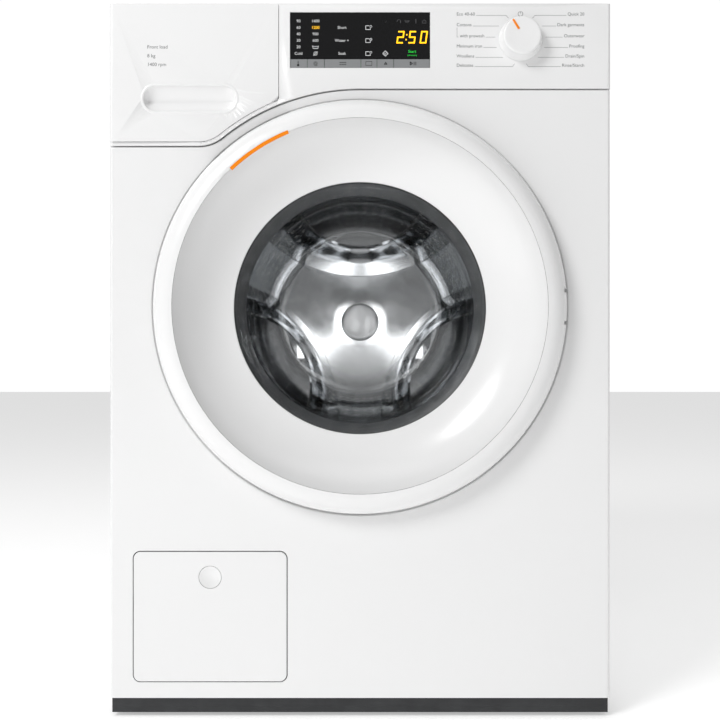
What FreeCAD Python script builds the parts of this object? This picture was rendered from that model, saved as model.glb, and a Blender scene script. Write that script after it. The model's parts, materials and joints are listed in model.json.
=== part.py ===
import FreeCAD, Part
import math
import os
from FreeCAD import Vector

# A front loading washing machine as an assembly. Sizes are millimetres. x runs to the
# right and z up from the floor. Depths are called u and are measured back from the face
# of the front panel, so the model's own y is u + Y_FRONT.

# ------------------------------------------------------------------ cabinet
WIDTH = 596.0                 # across the side panels
HEIGHT = 850.0                # floor to worktop
CABINET_DEPTH = 590.0         # front panel face to rear panel face
DOOR_PROUD = 31.0             # door crest in front of the front panel
SPIGOT_PROUD = 15.0           # water inlet behind the rear panel
SHEET = 1.2                   # painted steel sheet
FRONT_EDGE_R = 4.0            # folded upright edges of the front
FRONT_RETURN = 18.0           # depth of the front panel's and fascia's folded rims
PANEL_Z0 = 24.0               # lower edge of the front panel
SEAM = 1.5                    # gap between the fascia and the front panel
JOINT_GAP = 0.4               # gap between covers that meet
FLANGE = 16.0                 # inward flanges of the side panels
TOP_THICKNESS = 16.0          # worktop slab
BASE_BOTTOM = 14.0            # underside of the base tray
TOE_BOTTOM = 5.0              # toe strip under the front panel, just off the floor
BASE_RIM = 62.0               # top of the base tray's wall
BASE_WALL = 3.0
BASE_SETBACK = 6.0            # base tray behind the front panel
BRACE_WIDTH = 26.0
BRACE_HEIGHT = 22.0

# ------------------------------------------------------------------ control fascia
FASCIA_HEIGHT = 101.0         # right-hand part
FASCIA_LEFT_HEIGHT = 169.0    # taller part under the drawer
FASCIA_PROUD = 2.0
FASCIA_WALL = 3.0
FASCIA_FILLET = 45.0          # round between the level edge and the arc over the door
FASCIA_ARC_R = 260.0          # arc concentric with the door
DRAWER_LIP = 5.0              # fascia strip left under the drawer front
DRAWER_WIDTH = 201.0          # drawer front, from the left side of the cabinet
DRAWER_CORNER_R = 6.0
PANEL_GAP = 0.7               # line around the drawer front
DRAWER_FRONT_DEPTH = 16.0
GRIP_WIDTH = 117.0            # stadium grip pocket in the drawer front
GRIP_HEIGHT = 37.6
GRIP_FROM_SIDE = 37.0
GRIP_ABOVE_EDGE = 37.4
GRIP_RIM = 3.4
GRIP_DEPTH = 12.0
TRAY_WIDTH = 152.0
TRAY_HEIGHT = 54.0
TRAY_LENGTH = 250.0
TRAY_WALL = 2.0
TRAY_FROM_SIDE = 26.0
TRAY_BELOW_TOP = 28.0
TRAY_CLEARANCE = 1.5
HOUSING_WALL = 2.5
DISPLAY_WIDTH = 166.0
DISPLAY_HEIGHT = 55.0
DISPLAY_BELOW_TOP = 10.7
KEY_STRIP_HEIGHT = 10.6
KEY_EDGES = (-83.0, -62.7, -42.3, 1.1, 20.2, 40.1, 83.0)
KEY_GAP = 0.6
DISPLAY_THICKNESS = 2.6
FIT_GAP = 0.3                 # between a window and its opening
KNOB_X = 190.7
KNOB_BELOW_TOP = 42.4
KNOB_BASE_R = 26.0
KNOB_FACE_R = 22.0
KNOB_HEIGHT = 17.0
KNOB_SHAFT_R = 3.0
SHAFT_CLEARANCE = 0.05

# ------------------------------------------------------------------ door
DOOR_R = 245.0                # widest edge of the outer ring
CREST_R = 218.5               # seam between the outer ring and the dish
CREST_GAP = 0.4
DISH_INNER_R = 153.0
DISH_DEPTH = 18.0             # inner edge of the dish behind the front panel's face
DISH_MID = (191.0, 3.0)       # a point that the dish's curve passes
DOOR_WALL = 3.0
DOOR_BACK_GAP = 2.5           # ring's back edge in front of the panel
INNER_FRAME_R = 240.0
INNER_FRAME_DEPTH = 23.5
INNER_FRAME_FLOOR_R = 219.0
INNER_NECK_R = 167.0
INNER_NECK_DEPTH = 34.0
GLASS_FLANGE_R = 163.5
GLASS_WALL = 4.5
GLASS_NECK_R = 149.0
GLASS_SEAT_R = 140.0
GLASS_SEAT_DEPTH = 50.0
GLASS_END_R = 110.0
GLASS_DEPTH = 146.0
GLASS_EDGE_R = 14.0
GLASS_CROWN = 6.0
RECESS_R = 248.0              # stamped recess that the door closes into
RECESS_DEPTH = 28.0
RECESS_STEP = (238.0, 8.0)
RECESS_FLOOR_R = 228.0
PORTHOLE_R = 173.0
PORTHOLE_LIP = 8.0
HINGE_X = 228.0               # hinge axis, from the middle of the door
HINGE_U = -16.0
HINGE_PIN_R = 2.5
HINGE_EYE_R = 5.2
HINGE_EAR = 3.0               # thickness of each ear
HINGE_EAR_Z = 19.0            # ears above and below the door's middle
HINGE_KNUCKLE = 33.0
HINGE_SPAN = 100.0
HINGE_SLOT = 0.7              # room beside each ear in the door
HINGE_OPEN = 130.0            # door's travel in degrees
MARKER_ANGLES = (112.4, 133.3)
MARKER_WIDTH = 4.0
MARKER_CLEARANCE = 0.1
GRIP_SCALLOP = (110.0, 135.0)
SCALLOP_FRONT = -15.0
HOOK_X = -206.0
HOOK_REACH = 44.0
HOOK_WIDTH = 16.0
HOOK_THICKNESS = 5.0

# ------------------------------------------------------------------ drum and tub
DRUM_R = 240.0
DRUM_SHEET = 1.2
DRUM_FRONT = 92.0
DRUM_SHOULDER = 104.0
DRUM_BACK = 480.0
DRUM_BACK_DISH = 8.0          # middle of the drum's back in front of its rim
DRUM_MOUTH_R = 157.0
HUB_CAP_R = 31.0
HUB_CAP_HEIGHT = 8.0
PADDLE_COUNT = 3
PADDLE_SWEEP_R = 240.0         # radius of a paddle's rounded inner face
PADDLE_INNER_R = 76.0          # how near the paddles come to the drum's axis
PADDLE_FRONT = 205.0
SPIDER_DEPTH = 18.0
SPIDER_ARM_WIDTH = 44.0
SHAFT_R = 15.0
TUB_GAP = 16.0                # between the drum and the tub
TUB_WALL = 6.0
TUB_FRONT = 75.0
TUB_NECK_R = 170.3
TUB_NECK_FRONT = 64.0
TUB_REAR_GAP = 14.0           # between the spider and the tub's rear wall
BEARING_R = 31.0
BEARING_WIDTH = 15.0
BEARING_BOSS_WALL = 12.0
BEARING_BOSS_DEPTH = 42.0
PULLEY_R = 150.0
PULLEY_WIDTH = 16.0
BELT_WIDTH = 12.0
BELT_THICKNESS = 4.0
MOTOR_R = 52.0
MOTOR_LENGTH = 150.0
MOTOR_PULLEY_R = 11.0
MOTOR_SHAFT_R = 7.0
MOTOR_GAP = 10.0              # between the motor and the tub
SUMP_WIDTH = 140.0
SUMP_DEPTH = 24.0
SUMP_FRONT = 88.0
SUMP_LENGTH = 240.0
HEATER_R = 4.2
HEATER_SPREAD = 25.0
WEIGHT_INNER_R = 192.0
WEIGHT_OUTER_R = 254.0
WEIGHT_THICKNESS = 28.0
WEIGHT_HALF_ANGLE = 40.0

# ------------------------------------------------------------------ suspension
BOUNCE = 10.0                 # tub's travel up and down
DAMPER_X = 98.0
DAMPER_U = (160.0, 430.0)
DAMPER_R = 15.0
DAMPER_BORE_R = 11.0
DAMPER_ROD_R = 5.0
DAMPER_PISTON_R = 10.6
DAMPER_LENGTH = 110.0
SPRING_X = 225.0
SPRING_U = 372.0
SPRING_R = 12.0
SPRING_WIRE = 3.6
GASKET_WALL = 3.0
GASKET_LIP_R = 143.5
GASKET_LIP_DEPTH = 55.0
HOSE_R = 17.0
HOSE_WALL = 2.5

# ------------------------------------------------------------------ lower front
FLAP_LEFT = 28.6              # flap's left edge, from the side of the cabinet
FLAP_WIDTH = 182.0
FLAP_Z0 = 43.8
FLAP_HEIGHT = 154.1
FLAP_CORNER_R = 8.0
FLAP_GAP = 1.2
FLAP_THICKNESS = 3.0
FLAP_HINGE_R = 2.0
FLAP_HINGE_Z = 11.0           # hinge line above the flap's lower edge
BUTTON_R = 13.3
BUTTON_BELOW_TOP = 30.2
BUTTON_THICKNESS = 5.0
BUTTON_TRAVEL = 2.5
BUTTON_CLEARANCE = 0.4
WELL_DEPTH = 42.0
WELL_WALL = 2.0
FILTER_R = 36.0
FILTER_CAP_R = 33.0
FILTER_Z = 108.0
PUMP_LENGTH = 104.0
PUMP_MOTOR_R = 26.0
PUMP_WALL = 2.5
PUMP_IN_WELL = 14.0           # how far the filter's mouth stands into the well
PUMP_COLLAR = 28.0            # impeller housing behind the filter
PUMP_COLLAR_WALL = 3.0
PUMP_MOTOR_LENGTH = 62.0
CAP_FLANGE = 8.0
CAP_GRIP = (10.0, 8.0)        # height and width of the bar that turns the cap
DRAIN_BEND = 34.0
DRAIN_R = 11.0

# ------------------------------------------------------------------ feet and rear
FOOT_INSET = 44.0
FOOT_PAD_R = 21.0
FOOT_PAD_HEIGHT = 8.0
FOOT_STEM_R = 5.0
FOOT_NUT_R = 9.5
FOOT_TRAVEL = 15.0
INLET_R = 13.2                # G 3/4 thread
INLET_BORE_R = 8.0
SPIGOT_SHOULDER = 1.0         # thinner neck where each spigot passes the rear panel
INLET_FROM_SIDE = 110.0
INLET_BELOW_TOP = 60.0
COVER_R = 175.0               # round service cover in the rear panel
COVER_EMBOSS = 4.0
OUTLET_FROM_SIDE = 80.0
OUTLET_Z = 110.0
OUTLET_R = 13.0
CORD_GLAND_FROM_SIDE = 70.0
CORD_GLAND_R = 9.0
TRANSIT_R = 17.0
TRANSIT_X = 150.0
TRANSIT_Z = 180.0             # above and below the drum's middle
SCREW_HEAD_R = 4.5
SCREW_R = 2.1

# ------------------------------------------------------------------ worked-out places
HALF = WIDTH / 2
Y_FRONT = (DOOR_PROUD - CABINET_DEPTH - SPIGOT_PROUD) / 2
FASCIA_Z0 = HEIGHT - FASCIA_HEIGHT
FASCIA_LEFT_Z0 = HEIGHT - FASCIA_LEFT_HEIGHT
DOOR_Z = FASCIA_Z0 - FASCIA_ARC_R
REAR = CABINET_DEPTH
SIDE_FRONT = FRONT_RETURN + JOINT_GAP
SIDE_TOP = HEIGHT - TOP_THICKNESS - JOINT_GAP
TUB_INNER_R = DRUM_R + TUB_GAP
TUB_R = TUB_INNER_R + TUB_WALL
TUB_BOTTOM = DOOR_Z - TUB_R
TUB_REAR = DRUM_BACK + SPIDER_DEPTH + TUB_GAP
BOSS_END = TUB_REAR + BEARING_BOSS_DEPTH - TUB_WALL
PULLEY_U = BOSS_END + TUB_WALL
MOTOR_Z = TUB_BOTTOM - MOTOR_GAP - MOTOR_R
SUMP_Z = TUB_BOTTOM - SUMP_DEPTH
TRAY_X0 = -HALF + TRAY_FROM_SIDE
TRAY_X1 = TRAY_X0 + TRAY_WIDTH
TRAY_Z1 = HEIGHT - TRAY_BELOW_TOP
TRAY_Z0 = TRAY_Z1 - TRAY_HEIGHT
TRAY_U0 = DRAWER_FRONT_DEPTH - FASCIA_PROUD
HOUSING_END = TRAY_U0 + TRAY_LENGTH + 5 * TRAY_CLEARANCE
FLAP_X0 = -HALF + FLAP_LEFT
FLAP_X1 = FLAP_X0 + FLAP_WIDTH
FLAP_Z1 = FLAP_Z0 + FLAP_HEIGHT
BUTTON_X = FLAP_X0 + FLAP_WIDTH / 2
BUTTON_Z = FLAP_Z1 - BUTTON_BELOW_TOP
DISPLAY_Z1 = HEIGHT - DISPLAY_BELOW_TOP
DISPLAY_Z0 = DISPLAY_Z1 - DISPLAY_HEIGHT
KNOB_Z = HEIGHT - KNOB_BELOW_TOP
BRACE_Z1 = SIDE_TOP - SHEET
BRACE_Z0 = BRACE_Z1 - BRACE_HEIGHT
INLET_X = -HALF + INLET_FROM_SIDE
INLET_Z = HEIGHT - INLET_BELOW_TOP
OUTLET_X = -HALF + OUTLET_FROM_SIDE
GLAND_X = HALF - CORD_GLAND_FROM_SIDE


# ------------------------------------------------------------------ shape tools
def at(x, u, z):
    """A point given by its depth behind the front panel's face."""
    return Vector(x, u + Y_FRONT, z)


def block(x0, x1, u0, u1, z0, z1):
    """A box between two corners."""
    return Part.makeBox(x1 - x0, u1 - u0, z1 - z0, at(x0, u0, z0))


def rod(start, end, radius):
    """A round bar between two (x, u, z) points."""
    a = at(*start)
    b = at(*end)
    return Part.makeCylinder(radius, (b - a).Length, a, b - a)


def tube(start, end, outer, inner):
    """A round tube between two (x, u, z) points."""
    return rod(start, end, outer).cut(rod(start, end, inner))


def joined(shapes):
    """The shapes fused to one, with the seams between coplanar faces removed."""
    body = shapes[0]
    for shape in shapes[1:]:
        body = body.fuse(shape)
    return body.removeSplitter()


def wire(entries, place):
    """Join (a, b) corners; (a, b, (ma, mb)) is reached along an arc through (ma, mb)."""
    edges = []
    last = place(*entries[-1][:2])
    for entry in entries:
        here = place(*entry[:2])
        if (here - last).Length > 1e-6:
            if len(entry) == 3:
                edges.append(Part.Arc(last, place(*entry[2]), here).toShape())
            else:
                edges.append(Part.LineSegment(last, here).toShape())
        last = here
    return Part.Wire(edges)


def plate(entries, u0, u1):
    """An outline of (x, z) corners, from depth u0 to u1."""
    face = Part.Face(wire(entries, lambda x, z: at(x, u0, z)))
    return face.extrude(Vector(0, u1 - u0, 0))


def slab(entries, z0, z1):
    """An outline of (x, u) corners, from height z0 to z1."""
    face = Part.Face(wire(entries, lambda x, u: at(x, u, z0)))
    return face.extrude(Vector(0, 0, z1 - z0))


def turned(entries, x=0.0, z=DOOR_Z):
    """A full turn of a (radius, u) outline about a front-to-back axis."""
    face = Part.Face(wire(entries, lambda r, u: at(x + r, u, z)))
    return face.revolve(at(x, 0, z), Vector(0, 1, 0), 360)


def skin(points, thickness):
    """Outline of a wall of even thickness beside a line of (radius, u) points."""
    far = []
    for i, (r, u) in enumerate(points):
        before = points[max(i - 1, 0)]
        after = points[min(i + 1, len(points) - 1)]
        dr = after[0] - before[0]
        du = after[1] - before[1]
        length = math.hypot(dr, du)
        far.append((r + thickness * du / length, u - thickness * dr / length))
    return points + far[::-1]


def rounded(a0, a1, b0, b1, r):
    """Corners of a rectangle with round corners."""
    k = r * (1 - math.sqrt(0.5))
    return [(a1 - r, b0), (a1, b0 + r, (a1 - k, b0 + k)),
            (a1, b1 - r), (a1 - r, b1, (a1 - k, b1 - k)),
            (a0 + r, b1), (a0, b1 - r, (a0 + k, b1 - k)),
            (a0, b0 + r), (a0 + r, b0, (a0 + k, b0 + k))]


def polar(radius, degrees, x=0.0, z=DOOR_Z):
    """The (x, z) point at an angle, counter-clockwise from +x, seen from the front."""
    angle = math.radians(degrees)
    return (x + radius * math.cos(angle), z + radius * math.sin(angle))


def sector(inner, outer, start, end, u0, u1):
    """A ring segment about the door's axis between two angles in degrees."""
    middle = (start + end) / 2
    entries = [polar(inner, start), polar(outer, start),
               polar(outer, end) + (polar(outer, middle),),
               polar(inner, end), polar(inner, start) + (polar(inner, middle),)]
    return plate(entries[1:], u0, u1)


def screw(x, u, z, direction, length):
    """A pan head screw whose head sits at (x, u, z) and whose shank follows direction."""
    head_height = SCREW_HEAD_R / 2
    axis = Vector(*direction)
    seat = at(x, u, z)
    head = Part.makeCylinder(SCREW_HEAD_R, head_height, seat - axis * head_height, axis)
    shank = Part.makeCylinder(SCREW_R, length, seat, axis)
    return head.fuse(shank)


def save(name, shape):
    """Write one sub-part."""
    shape.exportStep("parts/" + name + ".step")


def edge_over_door(gap, width=HALF):
    """The fascia's lower edge from left to right, moved down by gap."""
    fillet = FASCIA_FILLET + gap
    arc = FASCIA_ARC_R - gap
    rise = FASCIA_LEFT_Z0 + FASCIA_FILLET - DOOR_Z
    reach = FASCIA_ARC_R + FASCIA_FILLET
    centre = (-math.sqrt(reach ** 2 - rise ** 2), DOOR_Z + rise)
    turn = math.degrees(math.atan2(rise, centre[0]))
    halfway = (270 + turn + 180) / 2
    return [(-width, FASCIA_LEFT_Z0 - gap), (centre[0], FASCIA_LEFT_Z0 - gap),
            polar(arc, turn) + (polar(fillet, halfway, *centre),),
            (0, DOOR_Z + arc, polar(arc, (turn + 90) / 2)),
            (width, DOOR_Z + arc)]


# ------------------------------------------------------------------ cabinet
def front_column(half, radius, u1, z0, z1, u0=0.0):
    """An upright slab with round front corners, for trimming the front's covers."""
    k = radius * (1 - math.sqrt(0.5))
    entries = [(half - radius, u0), (half, u0 + radius, (half - k, u0 + k)), (half, u1),
               (-half, u1), (-half, u0 + radius), (-half + radius, u0, (-half + k, u0 + k))]
    return slab(entries, z0, z1)


def make_front_panel():
    """Folded steel front with a stamped recess and porthole for the door."""
    edge = edge_over_door(SEAM)
    outer = plate([(HALF, PANEL_Z0), (-HALF, PANEL_Z0)] + edge, 0, FRONT_RETURN)
    outer = outer.common(front_column(HALF, FRONT_EDGE_R, FRONT_RETURN, 0, HEIGHT))
    inside = HALF - SHEET
    edge = edge_over_door(SEAM + SHEET, inside)
    hollow = plate([(inside, PANEL_Z0 + SHEET), (-inside, PANEL_Z0 + SHEET)] + edge,
                   SHEET, FRONT_RETURN + SHEET)
    hollow = hollow.common(front_column(inside, FRONT_EDGE_R - SHEET, CABINET_DEPTH,
                                        0, HEIGHT, SHEET))
    rim = RECESS_R + SHEET
    recess = turned(skin([(rim, 0), (RECESS_R, 0), RECESS_STEP, (RECESS_FLOOR_R, RECESS_DEPTH),
                          (PORTHOLE_R + SHEET, RECESS_DEPTH),
                          (PORTHOLE_R, RECESS_DEPTH + SHEET),
                          (PORTHOLE_R, RECESS_DEPTH + PORTHOLE_LIP)], SHEET))
    panel = outer.cut(hollow).cut(rod((0, -SHEET, DOOR_Z), (0, FRONT_RETURN, DOOR_Z), rim))
    panel = panel.fuse(recess)
    slot_half = HOOK_THICKNESS
    hook_slot = block(HOOK_X - 3 * slot_half, HOOK_X + 2 * slot_half,
                      FRONT_RETURN, HOOK_REACH, DOOR_Z - HOOK_WIDTH, DOOR_Z + HOOK_WIDTH)
    opening = plate(rounded(FLAP_X0 - FLAP_GAP, FLAP_X1 + FLAP_GAP, FLAP_Z0 - FLAP_GAP,
                            FLAP_Z1 + FLAP_GAP, FLAP_CORNER_R + FLAP_GAP), -SHEET, 2 * SHEET)
    save("front_panel", panel.cut(hook_slot).cut(opening))


def make_side_panels():
    """Side sheets with folded flanges all round."""
    for name, side in (("side_panel_left", -1), ("side_panel_right", 1)):
        def wall(a, b):
            return sorted((side * a, side * b))
        x0, x1 = wall(HALF - SHEET, HALF)
        f0, f1 = wall(HALF - FLANGE, HALF)
        body = block(x0, x1, SIDE_FRONT, REAR, PANEL_Z0, SIDE_TOP)
        front = block(f0, f1, SIDE_FRONT, SIDE_FRONT + SHEET, BASE_RIM + JOINT_GAP, SIDE_TOP)
        rear = block(f0, f1, REAR - 2 * SHEET, REAR - SHEET, BASE_RIM + JOINT_GAP, SIDE_TOP)
        top = block(f0, f1, SIDE_FRONT, REAR - SHEET, SIDE_TOP - SHEET, SIDE_TOP)
        save(name, joined([body, front, rear, top]))


def make_rear():
    """Rear sheet and its round service cover; returns the caps over the transit bolt holes."""
    inside = HALF - SHEET
    panel = block(-inside, inside, REAR - SHEET, REAR, BASE_RIM + JOINT_GAP, SIDE_TOP)
    cover_bore = rod((0, REAR - 2 * SHEET, DOOR_Z), (0, REAR + SHEET, DOOR_Z), COVER_R - FLANGE)
    panel = panel.cut(cover_bore)
    holes = [(INLET_X, INLET_Z, INLET_R + FIT_GAP), (OUTLET_X, OUTLET_Z, OUTLET_R + FIT_GAP),
             (GLAND_X, OUTLET_Z, CORD_GLAND_R + FIT_GAP)]
    transit = [(side * TRANSIT_X, DOOR_Z + level) for side in (-1, 1)
               for level in (-TRANSIT_Z, TRANSIT_Z)]
    holes += [(x, z, TRANSIT_R) for x, z in transit]
    for x, z, radius in holes:
        panel = panel.cut(rod((x, REAR - 2 * SHEET, z), (x, REAR + SHEET, z), radius))
    save("rear_panel", panel)
    step = COVER_R - 2 * FLANGE
    cover = turned(skin([(0, REAR + COVER_EMBOSS + SHEET), (step, REAR + COVER_EMBOSS + SHEET),
                         (step + COVER_EMBOSS, REAR + SHEET), (COVER_R, REAR + SHEET)], SHEET))
    save("rear_service_cover", cover)
    lip = 3 * SHEET
    caps = []
    for x, z in transit:
        head = rod((x, REAR, z), (x, REAR + lip, z), TRANSIT_R + lip)
        plug = tube((x, REAR - 3 * lip, z), (x, REAR, z), TRANSIT_R - FIT_GAP,
                    TRANSIT_R - FIT_GAP - SHEET)
        caps.append(head.fuse(plug))
    return caps


def make_base_tray():
    """Moulded floor of the cabinet with sockets for the feet and damper posts."""
    x = HALF - SHEET - JOINT_GAP
    u0 = BASE_SETBACK
    u1 = REAR - 2 * SHEET - JOINT_GAP
    front_wall = FRONT_RETURN + JOINT_GAP
    tray = block(-x, x, front_wall, u1, BASE_BOTTOM, BASE_RIM)
    tray = tray.cut(block(-x + BASE_WALL, x - BASE_WALL, front_wall + BASE_WALL,
                          u1 - BASE_WALL, BASE_BOTTOM + BASE_WALL, BASE_RIM + BASE_WALL))
    toe = block(-x, x, u0, front_wall, TOE_BOTTOM, PANEL_Z0)
    tray = tray.fuse(toe)
    top = BASE_RIM - BASE_WALL
    for fx, fu in foot_places():
        tray = tray.fuse(rod((fx, fu, BASE_BOTTOM), (fx, fu, top), 2 * FOOT_STEM_R + BASE_WALL))
    for dx in (-DAMPER_X, DAMPER_X):
        for du in DAMPER_U:
            tray = tray.fuse(rod((dx, du, BASE_BOTTOM), (dx, du, BASE_RIM), DAMPER_R))
    for fx, fu in foot_places():
        tray = tray.cut(rod((fx, fu, 0), (fx, fu, BASE_RIM), FOOT_STEM_R + SHAFT_CLEARANCE))
    x0, x1, z0 = well_place()[:3]
    room = JOINT_GAP
    tray = tray.cut(block(x0 - room, x1 + room, 0, WELL_DEPTH + room, z0 - room, HEIGHT))
    save("base_tray", tray.removeSplitter())


def foot_places():
    """(x, u) of the four feet."""
    near = SIDE_FRONT + FOOT_INSET
    far = REAR - FOOT_INSET
    side = HALF - FOOT_INSET
    return [(-side, near), (side, near), (-side, far), (side, far)]


def make_feet():
    """Four levelling feet: pad, threaded stem and locknut."""
    names = ("foot_front_left", "foot_front_right", "foot_rear_left", "foot_rear_right")
    for name, (x, u) in zip(names, foot_places()):
        pad = turned_up([(0, 0), (FOOT_PAD_R, 0), (FOOT_PAD_R, FOOT_PAD_HEIGHT / 2),
                         (FOOT_NUT_R, FOOT_PAD_HEIGHT), (0, FOOT_PAD_HEIGHT)], x, u)
        nut = rod((x, u, FOOT_PAD_HEIGHT), (x, u, BASE_BOTTOM - FIT_GAP), FOOT_NUT_R)
        stem = rod((x, u, FOOT_PAD_HEIGHT), (x, u, BASE_RIM - BASE_WALL - FIT_GAP), FOOT_STEM_R)
        save(name, joined([pad, nut, stem]))


def turned_up(entries, x, u):
    """A full turn of a (radius, z) outline about an upright axis."""
    face = Part.Face(wire(entries, lambda r, z: at(x + r, u, z)))
    return face.revolve(at(x, u, 0), Vector(0, 0, 1), 360)


def make_top():
    """Worktop slab behind the fascia, and the channel braces under it."""
    lip = JOINT_GAP / 2
    cover = slab(rounded(-HALF + lip, HALF - lip, SIDE_FRONT, REAR, FRONT_EDGE_R),
                 SIDE_TOP, HEIGHT)
    save("top_cover", cover)
    x = HALF - SHEET
    braces = []
    for u in (SPRING_U - BRACE_WIDTH / 2, HOUSING_END + BRACE_WIDTH * 5):
        outer = block(-x, x, u, u + BRACE_WIDTH, BRACE_Z0, BRACE_Z1)
        inner = block(-x, x, u + 2 * SHEET, u + BRACE_WIDTH - 2 * SHEET, BRACE_Z0 - SHEET,
                      BRACE_Z1 - 2 * SHEET)
        braces.append(outer.cut(inner))
    save("cross_braces", Part.makeCompound(braces))


def make_screws():
    """Pan head screws that hold the rear panel, its cover and the worktop."""
    screws = []
    for side in (-1, 1):
        x = side * (HALF - FLANGE / 2)
        for z in (BASE_RIM + 2 * FLANGE, DOOR_Z, SIDE_TOP - 2 * FLANGE):
            screws.append(screw(x, REAR, z, (0, -1, 0), 4 * SHEET))
    for k in range(6):
        x, z = polar(COVER_R - FLANGE / 2, 60 * k)
        screws.append(screw(x, REAR + SHEET, z, (0, -1, 0), 4 * SHEET))
    save("cabinet_screws", Part.makeCompound(screws))


# ------------------------------------------------------------------ control fascia
def drawer_outline(gap):
    """Outline of the drawer front, grown by gap."""
    x0 = -HALF
    x1 = x0 + DRAWER_WIDTH + gap
    edge = edge_over_door(-DRAWER_LIP + gap)
    arc = FASCIA_ARC_R + DRAWER_LIP - gap
    corner_z = DOOR_Z + math.sqrt(arc ** 2 - x1 ** 2)
    r = DRAWER_CORNER_R
    near = math.degrees(math.atan2(corner_z - DOOR_Z, x1))
    start = near + math.degrees(r / arc)
    arc_middle = (math.degrees(math.atan2(edge[2][1] - DOOR_Z, edge[2][0])) + start) / 2
    k = r * (1 - math.sqrt(0.5)) / 2
    return [(x0, HEIGHT), edge[0], edge[1], edge[2],
            polar(arc, start) + (polar(arc, arc_middle),),
            (x1, corner_z + r, (x1 - k, corner_z + k)), (x1, HEIGHT)]


def make_fascia():
    """Control fascia: front wall with rims, and a pocket wall behind the drawer front."""
    front = -FASCIA_PROUD
    outline = edge_over_door(0) + [(HALF, HEIGHT), (-HALF, HEIGHT)]
    body = plate(outline, front, FRONT_RETURN)
    body = body.common(front_column(HALF, FRONT_EDGE_R, FRONT_RETURN, 0, HEIGHT, front))
    pocket_end = TRAY_U0 + FIT_GAP
    body = body.cut(plate(drawer_outline(PANEL_GAP), front - 1, pocket_end))
    wall_x = -HALF + DRAWER_WIDTH + PANEL_GAP + FASCIA_WALL
    back = front + FASCIA_WALL
    high = HEIGHT - FASCIA_WALL
    right = block(0, HALF - FASCIA_WALL, back, FRONT_RETURN + 1, FASCIA_Z0 + FASCIA_WALL, high)
    left = block(wall_x, 0, back, FRONT_RETURN + 1, FASCIA_LEFT_Z0, high)
    arc = FASCIA_ARC_R + FASCIA_WALL
    left = left.cut(rod((0, front - 1, DOOR_Z), (0, FRONT_RETURN + 2, DOOR_Z), arc))
    body = body.cut(right).cut(left)
    mouth = TRAY_CLEARANCE
    body = body.cut(block(TRAY_X0 - mouth, TRAY_X1 + mouth, 0, FRONT_RETURN + 1,
                          TRAY_Z0 - mouth, TRAY_Z1 + mouth))
    half = DISPLAY_WIDTH / 2 + FIT_GAP
    keys_z0 = DISPLAY_Z0 - KEY_STRIP_HEIGHT - FIT_GAP
    body = body.cut(block(-half, half, front - 1, back + 1, keys_z0, DISPLAY_Z1 + FIT_GAP))
    body = body.cut(rod((KNOB_X, front - 1, KNOB_Z), (KNOB_X, back + 1, KNOB_Z), 2 * KNOB_SHAFT_R))
    save("control_fascia", body)


def make_display():
    """Black display window, the strip of touch keys under it and the board behind them."""
    half = DISPLAY_WIDTH / 2
    front = -FASCIA_PROUD - FIT_GAP / 3
    window = block(-half, half, front, front + DISPLAY_THICKNESS, DISPLAY_Z0, DISPLAY_Z1)
    save("display_window", window)
    keys = []
    low = DISPLAY_Z0 - KEY_STRIP_HEIGHT
    for x0, x1 in zip(KEY_EDGES[:-1], KEY_EDGES[1:]):
        keys.append(block(x0 + KEY_GAP / 2, x1 - KEY_GAP / 2, front, front + DISPLAY_THICKNESS,
                          low, DISPLAY_Z0 - KEY_GAP))
    save("touch_keys", Part.makeCompound(keys))
    board_u = front + DISPLAY_THICKNESS + KNOB_SHAFT_R
    board = block(-half, KNOB_X + 2 * KNOB_BASE_R, board_u, board_u + TRAY_WALL,
                  DISPLAY_Z0 - KEY_STRIP_HEIGHT, DISPLAY_Z1)
    for x in (-half, half - KNOB_SHAFT_R, KNOB_X + KNOB_BASE_R):
        for z in (DISPLAY_Z0, DISPLAY_Z1 - 2 * KNOB_SHAFT_R):
            board = board.fuse(block(x, x + KNOB_SHAFT_R, FASCIA_WALL - FASCIA_PROUD, board_u,
                                     z, z + KNOB_SHAFT_R))
    board = board.cut(rod((KNOB_X, 0, KNOB_Z), (KNOB_X, FRONT_RETURN, KNOB_Z), KNOB_SHAFT_R + 1))
    encoder_u = board_u + TRAY_WALL
    reach = KNOB_HEIGHT / 2
    encoder = block(KNOB_X - KNOB_FACE_R / 2, KNOB_X + KNOB_FACE_R / 2, encoder_u,
                    encoder_u + reach, KNOB_Z - KNOB_FACE_R / 2, KNOB_Z + KNOB_FACE_R / 2)
    shaft = rod((KNOB_X, -FASCIA_PROUD - reach, KNOB_Z), (KNOB_X, encoder_u, KNOB_Z), KNOB_SHAFT_R)
    save("control_board", Part.makeCompound([board, encoder.fuse(shaft)]))


def make_knob():
    """Tapered selector knob with a bore for the encoder's shaft."""
    back = -FASCIA_PROUD - FIT_GAP
    face = back - KNOB_HEIGHT
    mid = ((KNOB_FACE_R + KNOB_BASE_R) / 2 - 1, (face + back) / 2)
    bore_end = -FASCIA_PROUD - KNOB_HEIGHT / 2 - FIT_GAP
    knob = turned([(0, face), (KNOB_FACE_R - 1, face),
                   (KNOB_FACE_R, face + 1, (KNOB_FACE_R - 0.3, face + 0.3)), mid,
                   (KNOB_BASE_R, back), (0, back)], KNOB_X, KNOB_Z)
    bore = rod((KNOB_X, bore_end, KNOB_Z), (KNOB_X, 0, KNOB_Z), KNOB_SHAFT_R + SHAFT_CLEARANCE)
    save("selector_knob", knob.cut(bore))


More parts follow.
